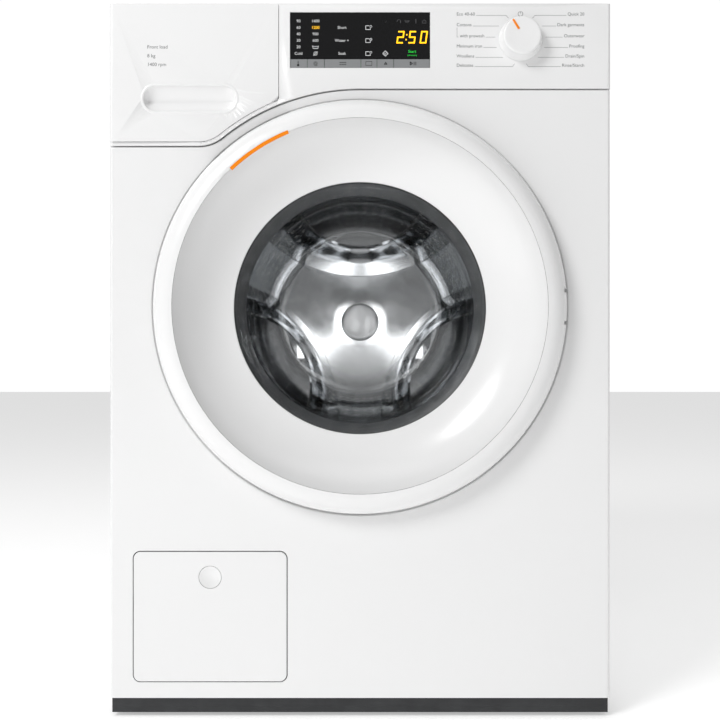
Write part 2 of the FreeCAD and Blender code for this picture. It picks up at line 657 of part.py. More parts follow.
def make_drawer():
    """Detergent drawer: front with its grip pocket, and the three part tray."""
    outline = drawer_outline(0)
    front = -FASCIA_PROUD
    body = plate(outline, front, TRAY_U0)
    body = body.common(front_column(HALF, FRONT_EDGE_R, FRONT_RETURN, 0, HEIGHT, front))
    gx0 = -HALF + GRIP_FROM_SIDE + GRIP_RIM
    gx1 = gx0 + GRIP_WIDTH - 2 * GRIP_RIM
    gz0 = FASCIA_LEFT_Z0 + GRIP_ABOVE_EDGE + GRIP_RIM
    gz1 = gz0 + GRIP_HEIGHT - 2 * GRIP_RIM
    radius = (gz1 - gz0) / 2
    body = body.cut(plate(rounded(gx0, gx1, gz0, gz1, radius), front - 1, front + GRIP_DEPTH))
    save("drawer_front", body)
    x0, x1, z0, z1 = TRAY_X0, TRAY_X1, TRAY_Z0, TRAY_Z1
    u1 = TRAY_U0 + TRAY_LENGTH
    tray = block(x0, x1, TRAY_U0, u1, z0, z1)
    cell = (x1 - x0 - 4 * TRAY_WALL) / 3
    for k in range(3):
        left = x0 + TRAY_WALL + k * (cell + TRAY_WALL)
        tray = tray.cut(block(left, left + cell, TRAY_U0 + TRAY_WALL, u1 - TRAY_WALL,
                              z0 + TRAY_WALL, z1 + TRAY_WALL))
    save("drawer_tray", tray)


def make_dispenser():
    """Housing that the drawer slides in, and the rear inlet valve; returns the pipe between."""
    c = TRAY_CLEARANCE
    w = HOUSING_WALL
    u0 = FRONT_RETURN + FIT_GAP
    z1 = TRAY_Z1 + c + w
    housing = block(TRAY_X0 - c - w, TRAY_X1 + c + w, u0, HOUSING_END + w, TRAY_Z0 - c - w, z1)
    housing = housing.cut(block(TRAY_X0 - c, TRAY_X1 + c, u0 - 1, HOUSING_END, TRAY_Z0 - c,
                                TRAY_Z1 + c))
    x, u = fill_place()
    housing = housing.fuse(tube((x, u, TRAY_Z0 - c - 6 * w), (x, u, TRAY_Z0 - c - w),
                                HOSE_R, HOSE_R - w))
    housing = housing.cut(rod((x, u, TRAY_Z0 - 2 * w), (x, u, TRAY_Z0), HOSE_R - w))
    pipe_z = (TRAY_Z0 + TRAY_Z1) / 2
    nozzle = rod((INLET_X, HOUSING_END + w, pipe_z), (INLET_X, HOUSING_END + 5 * w, pipe_z),
                 INLET_BORE_R)
    save("dispenser_housing", housing.fuse(nozzle))
    body_u = REAR - SHEET - 4 * INLET_R
    body = block(INLET_X - 1.3 * INLET_R, INLET_X + 1.3 * INLET_R, body_u, REAR - SHEET,
                 INLET_Z - 1.5 * INLET_R, INLET_Z + 1.5 * INLET_R)
    shoulder = REAR + SPIGOT_SHOULDER
    neck = rod((INLET_X, REAR - SHEET, INLET_Z), (INLET_X, shoulder, INLET_Z),
               INLET_R - SPIGOT_SHOULDER)
    spigot = rod((INLET_X, shoulder, INLET_Z), (INLET_X, REAR + SPIGOT_PROUD, INLET_Z), INLET_R)
    valve = body.fuse(neck).fuse(spigot).cut(rod((INLET_X, REAR - INLET_R, INLET_Z),
                                      (INLET_X, REAR + SPIGOT_PROUD + 1, INLET_Z), INLET_BORE_R))
    stub = rod((INLET_X, body_u - 4 * w, pipe_z), (INLET_X, body_u, pipe_z), INLET_BORE_R)
    save("inlet_valve", valve.fuse(stub))
    fill = tube((INLET_X, HOUSING_END + 2 * w, pipe_z), (INLET_X, body_u - w, pipe_z),
                INLET_BORE_R + FIT_GAP + w, INLET_BORE_R + FIT_GAP)
    return fill


def fill_place():
    """(x, u) of the hose from the dispenser down to the tub."""
    return (TRAY_X1 - 1.5 * HOSE_R, TRAY_U0 + TRAY_LENGTH - 4 * HOSE_R)


# ------------------------------------------------------------------ door
def slot_for_ears():
    """What the fixed hinge ears sweep, seen from the door, as two thin sectors."""
    reach = 52.0
    axis = (HINGE_X, HINGE_U)
    rest = math.radians(165)
    last = math.radians(148 - HINGE_OPEN - 38)

    def rim(angle):
        return (axis[0] + reach * math.cos(angle), axis[1] + reach * math.sin(angle))
    entries = [axis, rim(last), rim(rest) + (rim((rest + last) / 2),)]
    half = HINGE_EAR / 2 + HINGE_SLOT
    cuts = []
    for side in (-1, 1):
        z = DOOR_Z + side * HINGE_EAR_Z
        cuts.append(slab(entries, z - half, z + half))
        cuts.append(rod_up(axis, HINGE_EYE_R + HINGE_SLOT, z - half, z + half))
    return cuts


def rod_up(place, radius, z0, z1):
    """An upright round bar at (x, u)."""
    return rod((place[0], place[1], z0), (place[0], place[1], z1), radius)


def quarter(radius):
    """Outer ring's rounded section: crest to widest edge, about one centre."""
    centre = (CREST_R + CREST_GAP / 2, radius_centre())
    mid = math.radians(-45)
    return [(centre[0], centre[1] - radius),
            (centre[0] + radius, centre[1],
             (centre[0] + radius * math.cos(mid), centre[1] + radius * math.sin(mid)))]


def radius_centre():
    """Depth of the centre of the outer ring's section."""
    return -DOOR_PROUD + DOOR_R - CREST_R - CREST_GAP / 2


def make_door_rings():
    """Outer ring, with its finger scallop, and the dished inner ring."""
    full = DOOR_R - CREST_R - CREST_GAP / 2
    outer = quarter(full)
    inner = quarter(full - DOOR_WALL)
    back = -DOOR_BACK_GAP
    a, b = inner
    ring = turned([outer[0], outer[1], (DOOR_R - 1, back), (DOOR_R - DOOR_WALL, back), b[:2],
                   a + (b[2],)])
    for cut in slot_for_ears():
        ring = ring.cut(cut)
    start, end = GRIP_SCALLOP
    scallop = sector(INNER_FRAME_R - 14, DOOR_R + 2, start, end, SCALLOP_FRONT, 0)
    groove = marker_place(MARKER_CLEARANCE)
    save("door_outer_ring", ring.cut(scallop).cut(groove))
    r0 = CREST_R - CREST_GAP / 2
    centre, radius = dish_circle()

    def on_dish(r, wall):
        rise = math.sqrt((radius + wall) ** 2 - (r - centre[0]) ** 2)
        return (r, centre[1] + rise)
    rim = DISH_INNER_R
    mid = (r0 + rim) / 2
    dish = turned([(r0, -DOOR_PROUD), on_dish(rim, 0) + (on_dish(mid, 0),),
                   on_dish(rim, DOOR_WALL),
                   on_dish(r0, DOOR_WALL) + (on_dish(mid, DOOR_WALL),)])
    save("door_dish_ring", dish.cut(groove))
    save("door_marker", marker_place(0))


def marker_place(gap):
    """The coloured inlay in the crest, grown by gap."""
    a0, a1 = MARKER_ANGLES
    half = MARKER_WIDTH / 2 + gap
    spread = math.degrees(gap / CREST_R)
    depth = -DOOR_PROUD
    return sector(CREST_R - half, CREST_R + half, a0 - spread, a1 + spread, depth - gap,
                  depth + 0.6 * DOOR_WALL + gap)


def dish_circle():
    """Centre and radius of the circle that the dish's section follows."""
    ax, ay = CREST_R - CREST_GAP / 2, -DOOR_PROUD
    bx, by = DISH_MID
    cx, cy = DISH_INNER_R, DISH_DEPTH
    d = 2 * (ax * (by - cy) + bx * (cy - ay) + cx * (ay - by))
    ra, rb, rc = ax ** 2 + ay ** 2, bx ** 2 + by ** 2, cx ** 2 + cy ** 2
    x = (ra * (by - cy) + rb * (cy - ay) + rc * (ay - by)) / d
    y = (ra * (cx - bx) + rb * (ax - cx) + rc * (bx - ax)) / d
    return (x, y), math.hypot(ax - x, ay - y)


def make_door_inside():
    """Inner frame that clamps the glass, the bowl itself and the latch hook."""
    w = DOOR_WALL
    back = -DOOR_BACK_GAP
    floor = INNER_FRAME_DEPTH
    frame = turned([(INNER_FRAME_R, back - w), (INNER_FRAME_R, back),
                    (INNER_FRAME_FLOOR_R + 11, back), (INNER_FRAME_FLOOR_R, floor),
                    (INNER_NECK_R + w, floor), (INNER_NECK_R, floor + w),
                    (INNER_NECK_R, INNER_NECK_DEPTH), (DISH_INNER_R, INNER_NECK_DEPTH),
                    (DISH_INNER_R, INNER_NECK_DEPTH - w),
                    (GLASS_FLANGE_R + FIT_GAP, DISH_DEPTH + w + GLASS_WALL + 2 * FIT_GAP),
                    (GLASS_FLANGE_R + FIT_GAP, floor - w),
                    (INNER_FRAME_FLOOR_R - w, floor - w), (INNER_FRAME_FLOOR_R + 8, back - w)])
    for cut in slot_for_ears():
        frame = frame.cut(cut)
    start, end = GRIP_SCALLOP
    frame = frame.cut(sector(INNER_FRAME_R - 14, DOOR_R + 2, start, end, SCALLOP_FRONT, 0))
    save("door_inner_frame", frame)
    save("door_glass", make_bowl())
    reach = HOOK_REACH
    z0 = DOOR_Z - HOOK_WIDTH / 2
    z1 = DOOR_Z + HOOK_WIDTH / 2
    t = HOOK_THICKNESS
    hook = block(HOOK_X - t / 2, HOOK_X + t / 2, floor, reach, z0, z1)
    claw = block(HOOK_X - t, HOOK_X, reach - t, reach, z0, z1)
    save("door_hook", hook.fuse(claw).removeSplitter())


def make_bowl():
    """Glass bowl with a flange, a seat for the gasket and a crowned end."""
    w = GLASS_WALL
    front = DISH_DEPTH + DOOR_WALL + FIT_GAP
    end = GLASS_DEPTH
    slope = (GLASS_END_R - GLASS_SEAT_R) / (end - GLASS_SEAT_DEPTH)
    e = GLASS_EDGE_R
    flat = e / 2
    outside = [(GLASS_FLANGE_R, front), (GLASS_FLANGE_R, front + w), (GLASS_NECK_R, front + w),
               (GLASS_SEAT_R, GLASS_SEAT_DEPTH),
               (GLASS_END_R - slope * e, end - e),
               (GLASS_END_R - e, end, (GLASS_END_R - slope * e - 0.3 * e, end - 0.3 * e)),
               (flat, end + GLASS_CROWN, ((GLASS_END_R - e) / 2, end + 0.75 * GLASS_CROWN)),
               (0, end + GLASS_CROWN)]
    inside = [(0, end + GLASS_CROWN - w), (flat, end + GLASS_CROWN - w),
              (GLASS_END_R - e, end - w, ((GLASS_END_R - e) / 2, end - w + 0.75 * GLASS_CROWN)),
              (GLASS_END_R - slope * e - w, end - e,
               (GLASS_END_R - slope * e - 0.3 * e - 0.8 * w, end - 0.3 * e - 0.8 * w)),
              (GLASS_SEAT_R - w, GLASS_SEAT_DEPTH), (GLASS_NECK_R - w, front)]
    return turned(outside + inside)


def make_hinge():
    """Fixed ears with their pin, and the door's knuckle on its bridge."""
    axis = (HINGE_X, HINGE_U)
    half = HINGE_EAR / 2
    foot_x1 = HINGE_X - 8
    foot_x0 = foot_x1 - 10
    floor = RECESS_DEPTH
    base = block(foot_x1 - 26, foot_x1, floor - HINGE_EAR, floor, DOOR_Z - 45, DOOR_Z + 45)
    neck = 4.5
    shapes = [base]
    for side in (-1, 1):
        z = DOOR_Z + side * HINGE_EAR_Z
        ear = slab([(foot_x0, floor - half), (foot_x0, HINGE_U + 8), (HINGE_X - 14, HINGE_U + neck),
                    (HINGE_X, HINGE_U - neck), (HINGE_X, HINGE_U + neck),
                    (foot_x1, HINGE_U + 12), (foot_x1, floor - half)], z - half, z + half)
        eye = rod_up(axis, HINGE_EYE_R, z - half, z + half)
        shapes += [ear, eye]
    bracket = joined(shapes)
    pin = rod_up(axis, HINGE_PIN_R, DOOR_Z - HINGE_EAR_Z - half - 2, DOOR_Z + HINGE_EAR_Z + half + 2)
    bracket = bracket.cut(rod_up(axis, HINGE_PIN_R, 0, HEIGHT))
    save("hinge_bracket", Part.makeCompound([bracket, pin]))
    bar_u0 = HINGE_U - 8
    bar_u1 = HINGE_U - 6
    half_span = HINGE_SPAN / 2
    bar_x = CREST_R + 1.3
    bar = block(bar_x, bar_x + 5, bar_u0, bar_u1, DOOR_Z - half_span, DOOR_Z + half_span)
    knuckle_half = HINGE_KNUCKLE / 2
    web = block(bar_x + 1, HINGE_X + 1, bar_u0, HINGE_U, DOOR_Z - knuckle_half,
                DOOR_Z + knuckle_half)
    knuckle = rod_up(axis, HINGE_EYE_R, DOOR_Z - knuckle_half, DOOR_Z + knuckle_half)
    posts = []
    for side in (-1, 1):
        z0, z1 = sorted((DOOR_Z + side * (half_span - 14), DOOR_Z + side * half_span))
        posts.append(block(bar_x + 1, HINGE_X - 1, bar_u1, -DOOR_BACK_GAP - DOOR_WALL, z0, z1))
    arm = joined([bar, web, knuckle] + posts)
    arm = arm.cut(rod_up(axis, HINGE_PIN_R + SHAFT_CLEARANCE, 0, HEIGHT))
    save("door_hinge_arm", arm)


def make_lock():
    """Door lock behind the recess, with its mouth for the hook."""
    u0 = RECESS_DEPTH + SHEET
    t = HOOK_THICKNESS
    z_half = 2.6 * HOOK_WIDTH
    lock = block(HOOK_X - 7 * t, HOOK_X + 4 * t, u0, HOOK_REACH + 3 * t, DOOR_Z - z_half,
                 DOOR_Z + z_half)
    mouth = block(HOOK_X - 3 * t, HOOK_X + 2 * t, u0 - 1, HOOK_REACH + t,
                  DOOR_Z - HOOK_WIDTH, DOOR_Z + HOOK_WIDTH)
    save("door_lock", lock.cut(mouth))


def make_gasket():
    """Rubber bellows from the porthole to the tub's neck, and its two clamp rings."""
    w = GASKET_WALL
    lip_u = RECESS_DEPTH + SHEET + PORTHOLE_LIP
    r = PORTHOLE_R - FIT_GAP
    front = RECESS_DEPTH - FIT_GAP
    collar = turned([(r - w, front - w), (r + 2 * w, front - w), (r + 2 * w, front), (r, front),
                     (r, lip_u), (r - w, lip_u)])
    seal = turned(skin([(r - w, lip_u - w), (r - 12, lip_u + 8),
                        (GASKET_LIP_R, GASKET_LIP_DEPTH)], w))
    neck = TUB_NECK_R + FIT_GAP
    bellows = turned(skin([(neck, TUB_FRONT - FIT_GAP), (neck, TUB_NECK_FRONT - 2),
                           (neck + 12, TUB_NECK_FRONT - 9), (neck + 12, lip_u + 11),
                           (r - w, lip_u + 2), (r - w, lip_u - 1)], -w))
    save("door_gasket", joined([collar, seal, bellows]))
    clamp_r = r + 2 * w + FIT_GAP
    save("gasket_front_clamp", turned([(clamp_r, front - w + 1), (clamp_r + w, front - w + 1),
                                       (clamp_r + w, RECESS_DEPTH), (clamp_r, RECESS_DEPTH)]))
    rear = neck + w + FIT_GAP
    band = (TUB_NECK_FRONT + 2, TUB_FRONT - w)
    save("gasket_rear_clamp", turned([(rear, band[0]), (rear + w / 2, band[0]),
                                      (rear + w / 2, band[1]), (rear, band[1])]))


# ------------------------------------------------------------------ drum
def make_drum():
    """Perforated basket, its back, three paddles, spider with shaft, and hub cap."""
    s = DRUM_SHEET
    shell = turned(skin([(DRUM_R, DRUM_BACK), (DRUM_R, DRUM_SHOULDER),
                         (DRUM_R - 10, DRUM_FRONT + 4), (DRUM_MOUTH_R + 6, DRUM_FRONT),
                         (DRUM_MOUTH_R, DRUM_FRONT + 4), (DRUM_MOUTH_R, DRUM_FRONT + 12)], s))
    save("drum_shell", shell)
    inside = DRUM_R - s - SHAFT_CLEARANCE
    step = DRUM_R * 0.62
    dish_u = DRUM_BACK - DRUM_BACK_DISH
    back = turned(skin([(inside, DRUM_BACK - s), (step, DRUM_BACK - s), (step - 10, dish_u),
                        (HUB_CAP_R, dish_u), (0, dish_u)], s))
    save("drum_back", back.common(rod((0, 0, DOOR_Z), (0, REAR, DOOR_Z), inside)))
    wall = rod((0, PADDLE_FRONT, DOOR_Z), (0, DRUM_BACK - s, DOOR_Z), inside)
    paddles = []
    for k in range(PADDLE_COUNT):
        x, z = polar(PADDLE_INNER_R + PADDLE_SWEEP_R, 90 + 360 / PADDLE_COUNT * k)
        back_u = dish_u - s - 2 * FIT_GAP
        lens = rod((x, PADDLE_FRONT, z), (x, back_u, z), PADDLE_SWEEP_R)
        hollow = rod((x, PADDLE_FRONT + s, z), (x, back_u + 1, z), PADDLE_SWEEP_R - s)
        paddles.append(lens.cut(hollow).common(wall))
    save("drum_paddles", Part.makeCompound(paddles))
    spider_u = DRUM_BACK
    hub = rod((0, spider_u, DOOR_Z), (0, spider_u + SPIDER_DEPTH, DOOR_Z), 2 * BEARING_R)
    shapes = [hub]
    for k in range(PADDLE_COUNT):
        arm = block(-SPIDER_ARM_WIDTH / 2, SPIDER_ARM_WIDTH / 2, spider_u, spider_u + SPIDER_DEPTH,
                    DOOR_Z, DOOR_Z + inside)
        arm.rotate(at(0, 0, DOOR_Z), Vector(0, 1, 0), 60 + 360 / PADDLE_COUNT * k)
        shapes.append(arm)
    spider = joined(shapes)
    spider = spider.common(rod((0, 0, DOOR_Z), (0, REAR, DOOR_Z), inside))
    shaft_end = PULLEY_U + PULLEY_WIDTH
    spider = spider.cut(rod((0, 0, DOOR_Z), (0, REAR, DOOR_Z), SHAFT_R))
    shaft = rod((0, spider_u, DOOR_Z), (0, shaft_end, DOOR_Z), SHAFT_R)
    save("drum_spider", Part.makeCompound([spider, shaft]))
    cap_u = dish_u - HUB_CAP_HEIGHT
    cap_base = dish_u
    cap = turned([(0, cap_u), (HUB_CAP_R - 8, cap_u + 1),
                  (HUB_CAP_R, cap_base, (HUB_CAP_R - 2, cap_u + 3)), (0, cap_base)])
    save("drum_hub_cap", cap)
    rim = PULLEY_R
    pulley = tube((0, PULLEY_U, DOOR_Z), (0, shaft_end, DOOR_Z), rim, rim - 8)
    hub_r = 2 * SHAFT_R
    pulley = pulley.fuse(tube((0, PULLEY_U, DOOR_Z), (0, shaft_end, DOOR_Z), hub_r, SHAFT_R))
    web = plate(spokes(rim - 4), PULLEY_U + 5, shaft_end - 5)
    web = web.cut(rod((0, 0, DOOR_Z), (0, REAR, DOOR_Z), SHAFT_R))
    save("drum_pulley", pulley.fuse(web).removeSplitter())


def spokes(reach, count=6):
    """A star outline for the pulley's spokes."""
    entries = []
    for k in range(count):
        angle = 360 / count * k
        entries += [polar(2 * SHAFT_R - 2, angle - 180 / count), polar(reach, angle - 5),
                    polar(reach, angle + 5)]
    return entries


# ------------------------------------------------------------------ tub
def make_tub():
    """Two tub shells, the sump under them, bearings, seal and counterweights."""
    w = TUB_WALL
    split = (TUB_FRONT + TUB_REAR) / 2
    r = TUB_R
    neck = TUB_NECK_R
    front = turned([(neck, TUB_NECK_FRONT), (neck, TUB_FRONT), (r, TUB_FRONT), (r, split),
                    (r - w, split), (r - w, TUB_FRONT + w), (neck - w, TUB_FRONT + w),
                    (neck - w, TUB_NECK_FRONT)])
    half = SUMP_WIDTH / 2
    sump = block(-half, half, SUMP_FRONT, SUMP_FRONT + SUMP_LENGTH, SUMP_Z, DOOR_Z - r * 0.9)
    hollow = block(-half + w, half - w, SUMP_FRONT + w, SUMP_FRONT + SUMP_LENGTH - w,
                   SUMP_Z + w, DOOR_Z)
    inner = rod((0, TUB_FRONT + w, DOOR_Z), (0, TUB_REAR, DOOR_Z), r - w)
    sx, su = sump_place()
    outlet = tube((sx, su, SUMP_Z - HOSE_R), (sx, su, SUMP_Z + w / 2), HOSE_R - HOSE_WALL,
                  HOSE_R - 2 * HOSE_WALL)
    sump = sump.cut(hollow).cut(inner)
    sump = sump.fuse(outlet).cut(rod((sx, su, SUMP_Z - 1), (sx, su, SUMP_Z + 2 * w),
                                     HOSE_R - 2 * HOSE_WALL))
    front_part = front.cut(hollow)
    sump_front = sump.common(block(-half, half, 0, split, 0, DOOR_Z))
    sump_rear = sump.common(block(-half, half, split, REAR, 0, DOOR_Z))
    fx, fu = fill_place()
    top = DOOR_Z + math.sqrt(r ** 2 - fx ** 2)
    inlet = tube((fx, fu, DOOR_Z + math.sqrt(r ** 2 - (abs(fx) + HOSE_R) ** 2) - w),
                 (fx, fu, top + 2 * HOSE_R), HOSE_R, HOSE_R - HOSE_WALL).cut(inner)
    heater = heater_path()
    front_shape = front_part.fuse(sump_front).cut(heater)
    if fu < split:
        front_shape = front_shape.fuse(inlet)
        front_shape = front_shape.cut(rod((fx, fu, DOOR_Z), (fx, fu, HEIGHT), HOSE_R - HOSE_WALL))
    boss_r = BEARING_R + BEARING_BOSS_WALL
    rear = turned([(r, split), (r, TUB_REAR + w), (boss_r, TUB_REAR + w), (boss_r, BOSS_END),
                   (BEARING_R, BOSS_END), (BEARING_R, TUB_REAR), (r - w, TUB_REAR), (r - w, split)])
    rear = rear.cut(hollow).fuse(sump_rear)
    for side in (-1, 1):
        x = side * SPRING_X
        z0 = DOOR_Z + math.sqrt(r ** 2 - SPRING_X ** 2) - w
        lug = block(min(x, x - side * 8), max(x, x - side * 8), SPRING_U - 14, SPRING_U + 14,
                    z0, z0 + 34)
        rear = rear.fuse(lug.cut(inner))
    for dx in (-DAMPER_X, DAMPER_X):
        for du in DAMPER_U:
            foot = rod((dx, du, damper_top()), (dx, du, DOOR_Z - r * 0.88), DAMPER_R).cut(inner)
            if du > split:
                rear = rear.fuse(foot)
            else:
                front_shape = front_shape.fuse(foot)
    save("tub_front", front_shape)
    save("tub_rear", rear)
    races = []
    for u in (TUB_REAR + 1, BOSS_END - BEARING_WIDTH - 1):
        middle = (BEARING_R + SHAFT_R) / 2
        ring = tube((0, u, DOOR_Z), (0, u + BEARING_WIDTH, DOOR_Z), BEARING_R, middle + 2)
        inner_race = tube((0, u, DOOR_Z), (0, u + BEARING_WIDTH, DOOR_Z), middle - 2,
                          SHAFT_R + SHAFT_CLEARANCE)
        shield = tube((0, u + 2, DOOR_Z), (0, u + BEARING_WIDTH - 2, DOOR_Z), middle + 2, middle - 2)
        races.append(ring.fuse(inner_race).fuse(shield))
    save("drum_bearings", Part.makeCompound(races))
    t = WEIGHT_THICKNESS
    back = TUB_FRONT - 1
    weights = []
    for middle in (90, 270):
        weights.append(sector(WEIGHT_INNER_R, WEIGHT_OUTER_R, middle - WEIGHT_HALF_ANGLE,
                              middle + WEIGHT_HALF_ANGLE, back + 1 - t, TUB_FRONT))
    save("counterweights", Part.makeCompound(weights))


def sump_place():
    """(x, u) of the sump's outlet."""
    return (-SUMP_WIDTH / 2 + 2 * HOSE_R - 6, SUMP_FRONT + HOSE_R + 4)


def damper_top():
    """Height at which the damper rods meet the tub's lugs."""
    return TUB_BOTTOM - BOUNCE


def heater_path():
    """U shaped immersion heater with its rubber plug in the sump's front wall."""
    z = SUMP_Z + SUMP_DEPTH / 2 + 3
    x = HEATER_SPREAD
    u0 = SUMP_FRONT - 8
    u1 = SUMP_FRONT + SUMP_LENGTH - 3 * x
    start = at(-x, u0, z)
    path = Part.Wire([Part.LineSegment(start, at(-x, u1, z)).toShape(),
                      Part.Arc(at(-x, u1, z), at(0, u1 + x, z), at(x, u1, z)).toShape(),
                      Part.LineSegment(at(x, u1, z), at(x, u0, z)).toShape()])
    section = Part.Wire([Part.makeCircle(HEATER_R, start, Vector(0, 1, 0))])
    element = path.makePipeShell([section], True, False)
    plug = block(-x - 12, x + 12, SUMP_FRONT - 3, SUMP_FRONT + TUB_WALL + 2, z - 8, z + 8)
    return element.fuse(plug)


def make_drive():
    """Heater, belt, motor and its rotor with the small pulley."""
    save("heater", heater_path())
    z = MOTOR_Z
    u1 = PULLEY_U - 8
    u0 = u1 - MOTOR_LENGTH
    housing = rod((0, u0, z), (0, u1, z), MOTOR_R)
    for side in (-1, 1):
        lug_x = sorted((side * (MOTOR_R - 14), side * (MOTOR_R - 26)))
        lug = block(lug_x[0], lug_x[1], u0 + 40, u0 + 70, z, TUB_BOTTOM + 14)
        housing = housing.fuse(lug)
    housing = housing.cut(rod((0, 0, DOOR_Z), (0, REAR, DOOR_Z), TUB_R + SHAFT_CLEARANCE))
    bore = MOTOR_SHAFT_R + SHAFT_CLEARANCE
    housing = housing.cut(rod((0, u0 + 20, z), (0, REAR, z), bore))
    save("motor_housing", housing)
    rotor = rod((0, u0 + 30, z), (0, PULLEY_U + PULLEY_WIDTH, z), MOTOR_SHAFT_R)
    small = rod((0, PULLEY_U, z), (0, PULLEY_U + PULLEY_WIDTH, z), MOTOR_PULLEY_R)
    save("motor_rotor", rotor.fuse(small).removeSplitter())
    gap = FIT_GAP
    margin = (PULLEY_WIDTH - BELT_WIDTH) / 2
    outer = belt_outline(PULLEY_R + gap + BELT_THICKNESS, MOTOR_PULLEY_R + gap + BELT_THICKNESS)
    inner = belt_outline(PULLEY_R + gap, MOTOR_PULLEY_R + gap)
    belt = plate(outer, PULLEY_U + margin, PULLEY_U + margin + BELT_WIDTH)
    belt = belt.cut(plate(inner, PULLEY_U, PULLEY_U + PULLEY_WIDTH))
    save("drive_belt", belt)


def belt_outline(big, small):
    """The taut line around the drum's pulley and the motor's pulley."""
    span = DOOR_Z - MOTOR_Z
    lean = math.degrees(math.asin((big - small) / span))
    right = -lean
    left = 180 + lean
    return [polar(big, right), polar(big, left) + (polar(big, 90),),
            polar(small, left, 0, MOTOR_Z), polar(small, right, 0, MOTOR_Z) +
            (polar(small, 270, 0, MOTOR_Z),)]


def make_suspension():
    """Dampers, springs and the flexible hoses that follow the tub."""
    cylinders = []
    rods = []
    top = BASE_RIM + DAMPER_LENGTH
    for x in (-DAMPER_X, DAMPER_X):
        for u in DAMPER_U:
            cylinder = rod((x, u, BASE_RIM), (x, u, top), DAMPER_R)
            bore = rod((x, u, BASE_RIM + 8), (x, u, top + 1), DAMPER_BORE_R)
            cylinders.append(cylinder.cut(bore))
            piston_z = BASE_RIM + DAMPER_LENGTH / 2
            shaft = rod((x, u, piston_z), (x, u, damper_top()), DAMPER_ROD_R)
            rods.append(shaft.fuse(rod((x, u, piston_z), (x, u, piston_z + 18), DAMPER_PISTON_R)))
    save("damper_cylinders", Part.makeCompound(cylinders))
    save("damper_rods", Part.makeCompound(rods))
    springs = []
    z0 = DOOR_Z + math.sqrt(TUB_R ** 2 - SPRING_X ** 2) - TUB_WALL + 34 + 14
    z1 = BRACE_Z0 - 24
    turns = int((z1 - z0) / SPRING_WIRE)
    pitch = (z1 - z0) / turns
    for side in (-1, 1):
        x = side * (SPRING_X - 4)
        entries = [(SPRING_R - SPRING_WIRE, z1), (SPRING_R - SPRING_WIRE, z0),
                   (SPRING_R - SPRING_WIRE / 2, z0)]
        for k in range(turns):
            z = z0 + k * pitch
            bulge = (SPRING_R, z + pitch / 2)
            entries.append((SPRING_R - SPRING_WIRE / 2, z + pitch, bulge))
        coil = turned_up(entries, x, SPRING_U)
        ends = rod((x, SPRING_U, z0 - 14), (x, SPRING_U, z0 + pitch), SPRING_WIRE / 2)
        upper = rod((x, SPRING_U, z1 - pitch), (x, SPRING_U, BRACE_Z1 - 2 * SHEET), SPRING_WIRE / 2)
        caps = [rod((x, SPRING_U, a), (x, SPRING_U, a + pitch), SPRING_R - SPRING_WIRE / 2)
                for a in (z0, z1 - pitch)]
        springs.append(joined([coil, ends, upper] + caps))
    save("suspension_springs", Part.makeCompound(springs))
    fx, fu = fill_place()
    hose_top = TRAY_Z0 - TRAY_CLEARANCE - HOUSING_WALL - FIT_GAP
    hose_bottom = DOOR_Z + math.sqrt(TUB_R ** 2 - fx ** 2) + HOSE_R
    hose = tube((fx, fu, hose_bottom), (fx, fu, hose_top), HOSE_R + FIT_GAP + HOSE_WALL,
                HOSE_R + FIT_GAP)
    save("fill_hose", hose)
    make_sump_hose()


def make_sump_hose():
    """Hose from the sump's outlet down and across to the pump's filter housing."""
    sx, su = sump_place()
    r = HOSE_R
    bend = 2.2 * r
    end = at(BUTTON_X + FILTER_R + FIT_GAP, su, FILTER_Z)
    top = at(sx, su, SUMP_Z - FIT_GAP)
    z = FILTER_Z
    k = bend * (1 - math.sqrt(0.5))
    path = Part.Wire([
        Part.LineSegment(top, at(sx, su, z + bend)).toShape(),
        Part.Arc(at(sx, su, z + bend), at(sx - k, su, z + k), at(sx - bend, su, z)).toShape(),
        Part.LineSegment(at(sx - bend, su, z), end).toShape()])
    axis = Vector(0, 0, 1)
    outer = path.makePipeShell([Part.Wire([Part.makeCircle(r, top, axis)])], True, False)
    bore = r - HOSE_WALL + SHAFT_CLEARANCE
    inner = path.makePipeShell([Part.Wire([Part.makeCircle(bore, top, axis)])], True, False)
    save("sump_hose", outer.cut(inner))


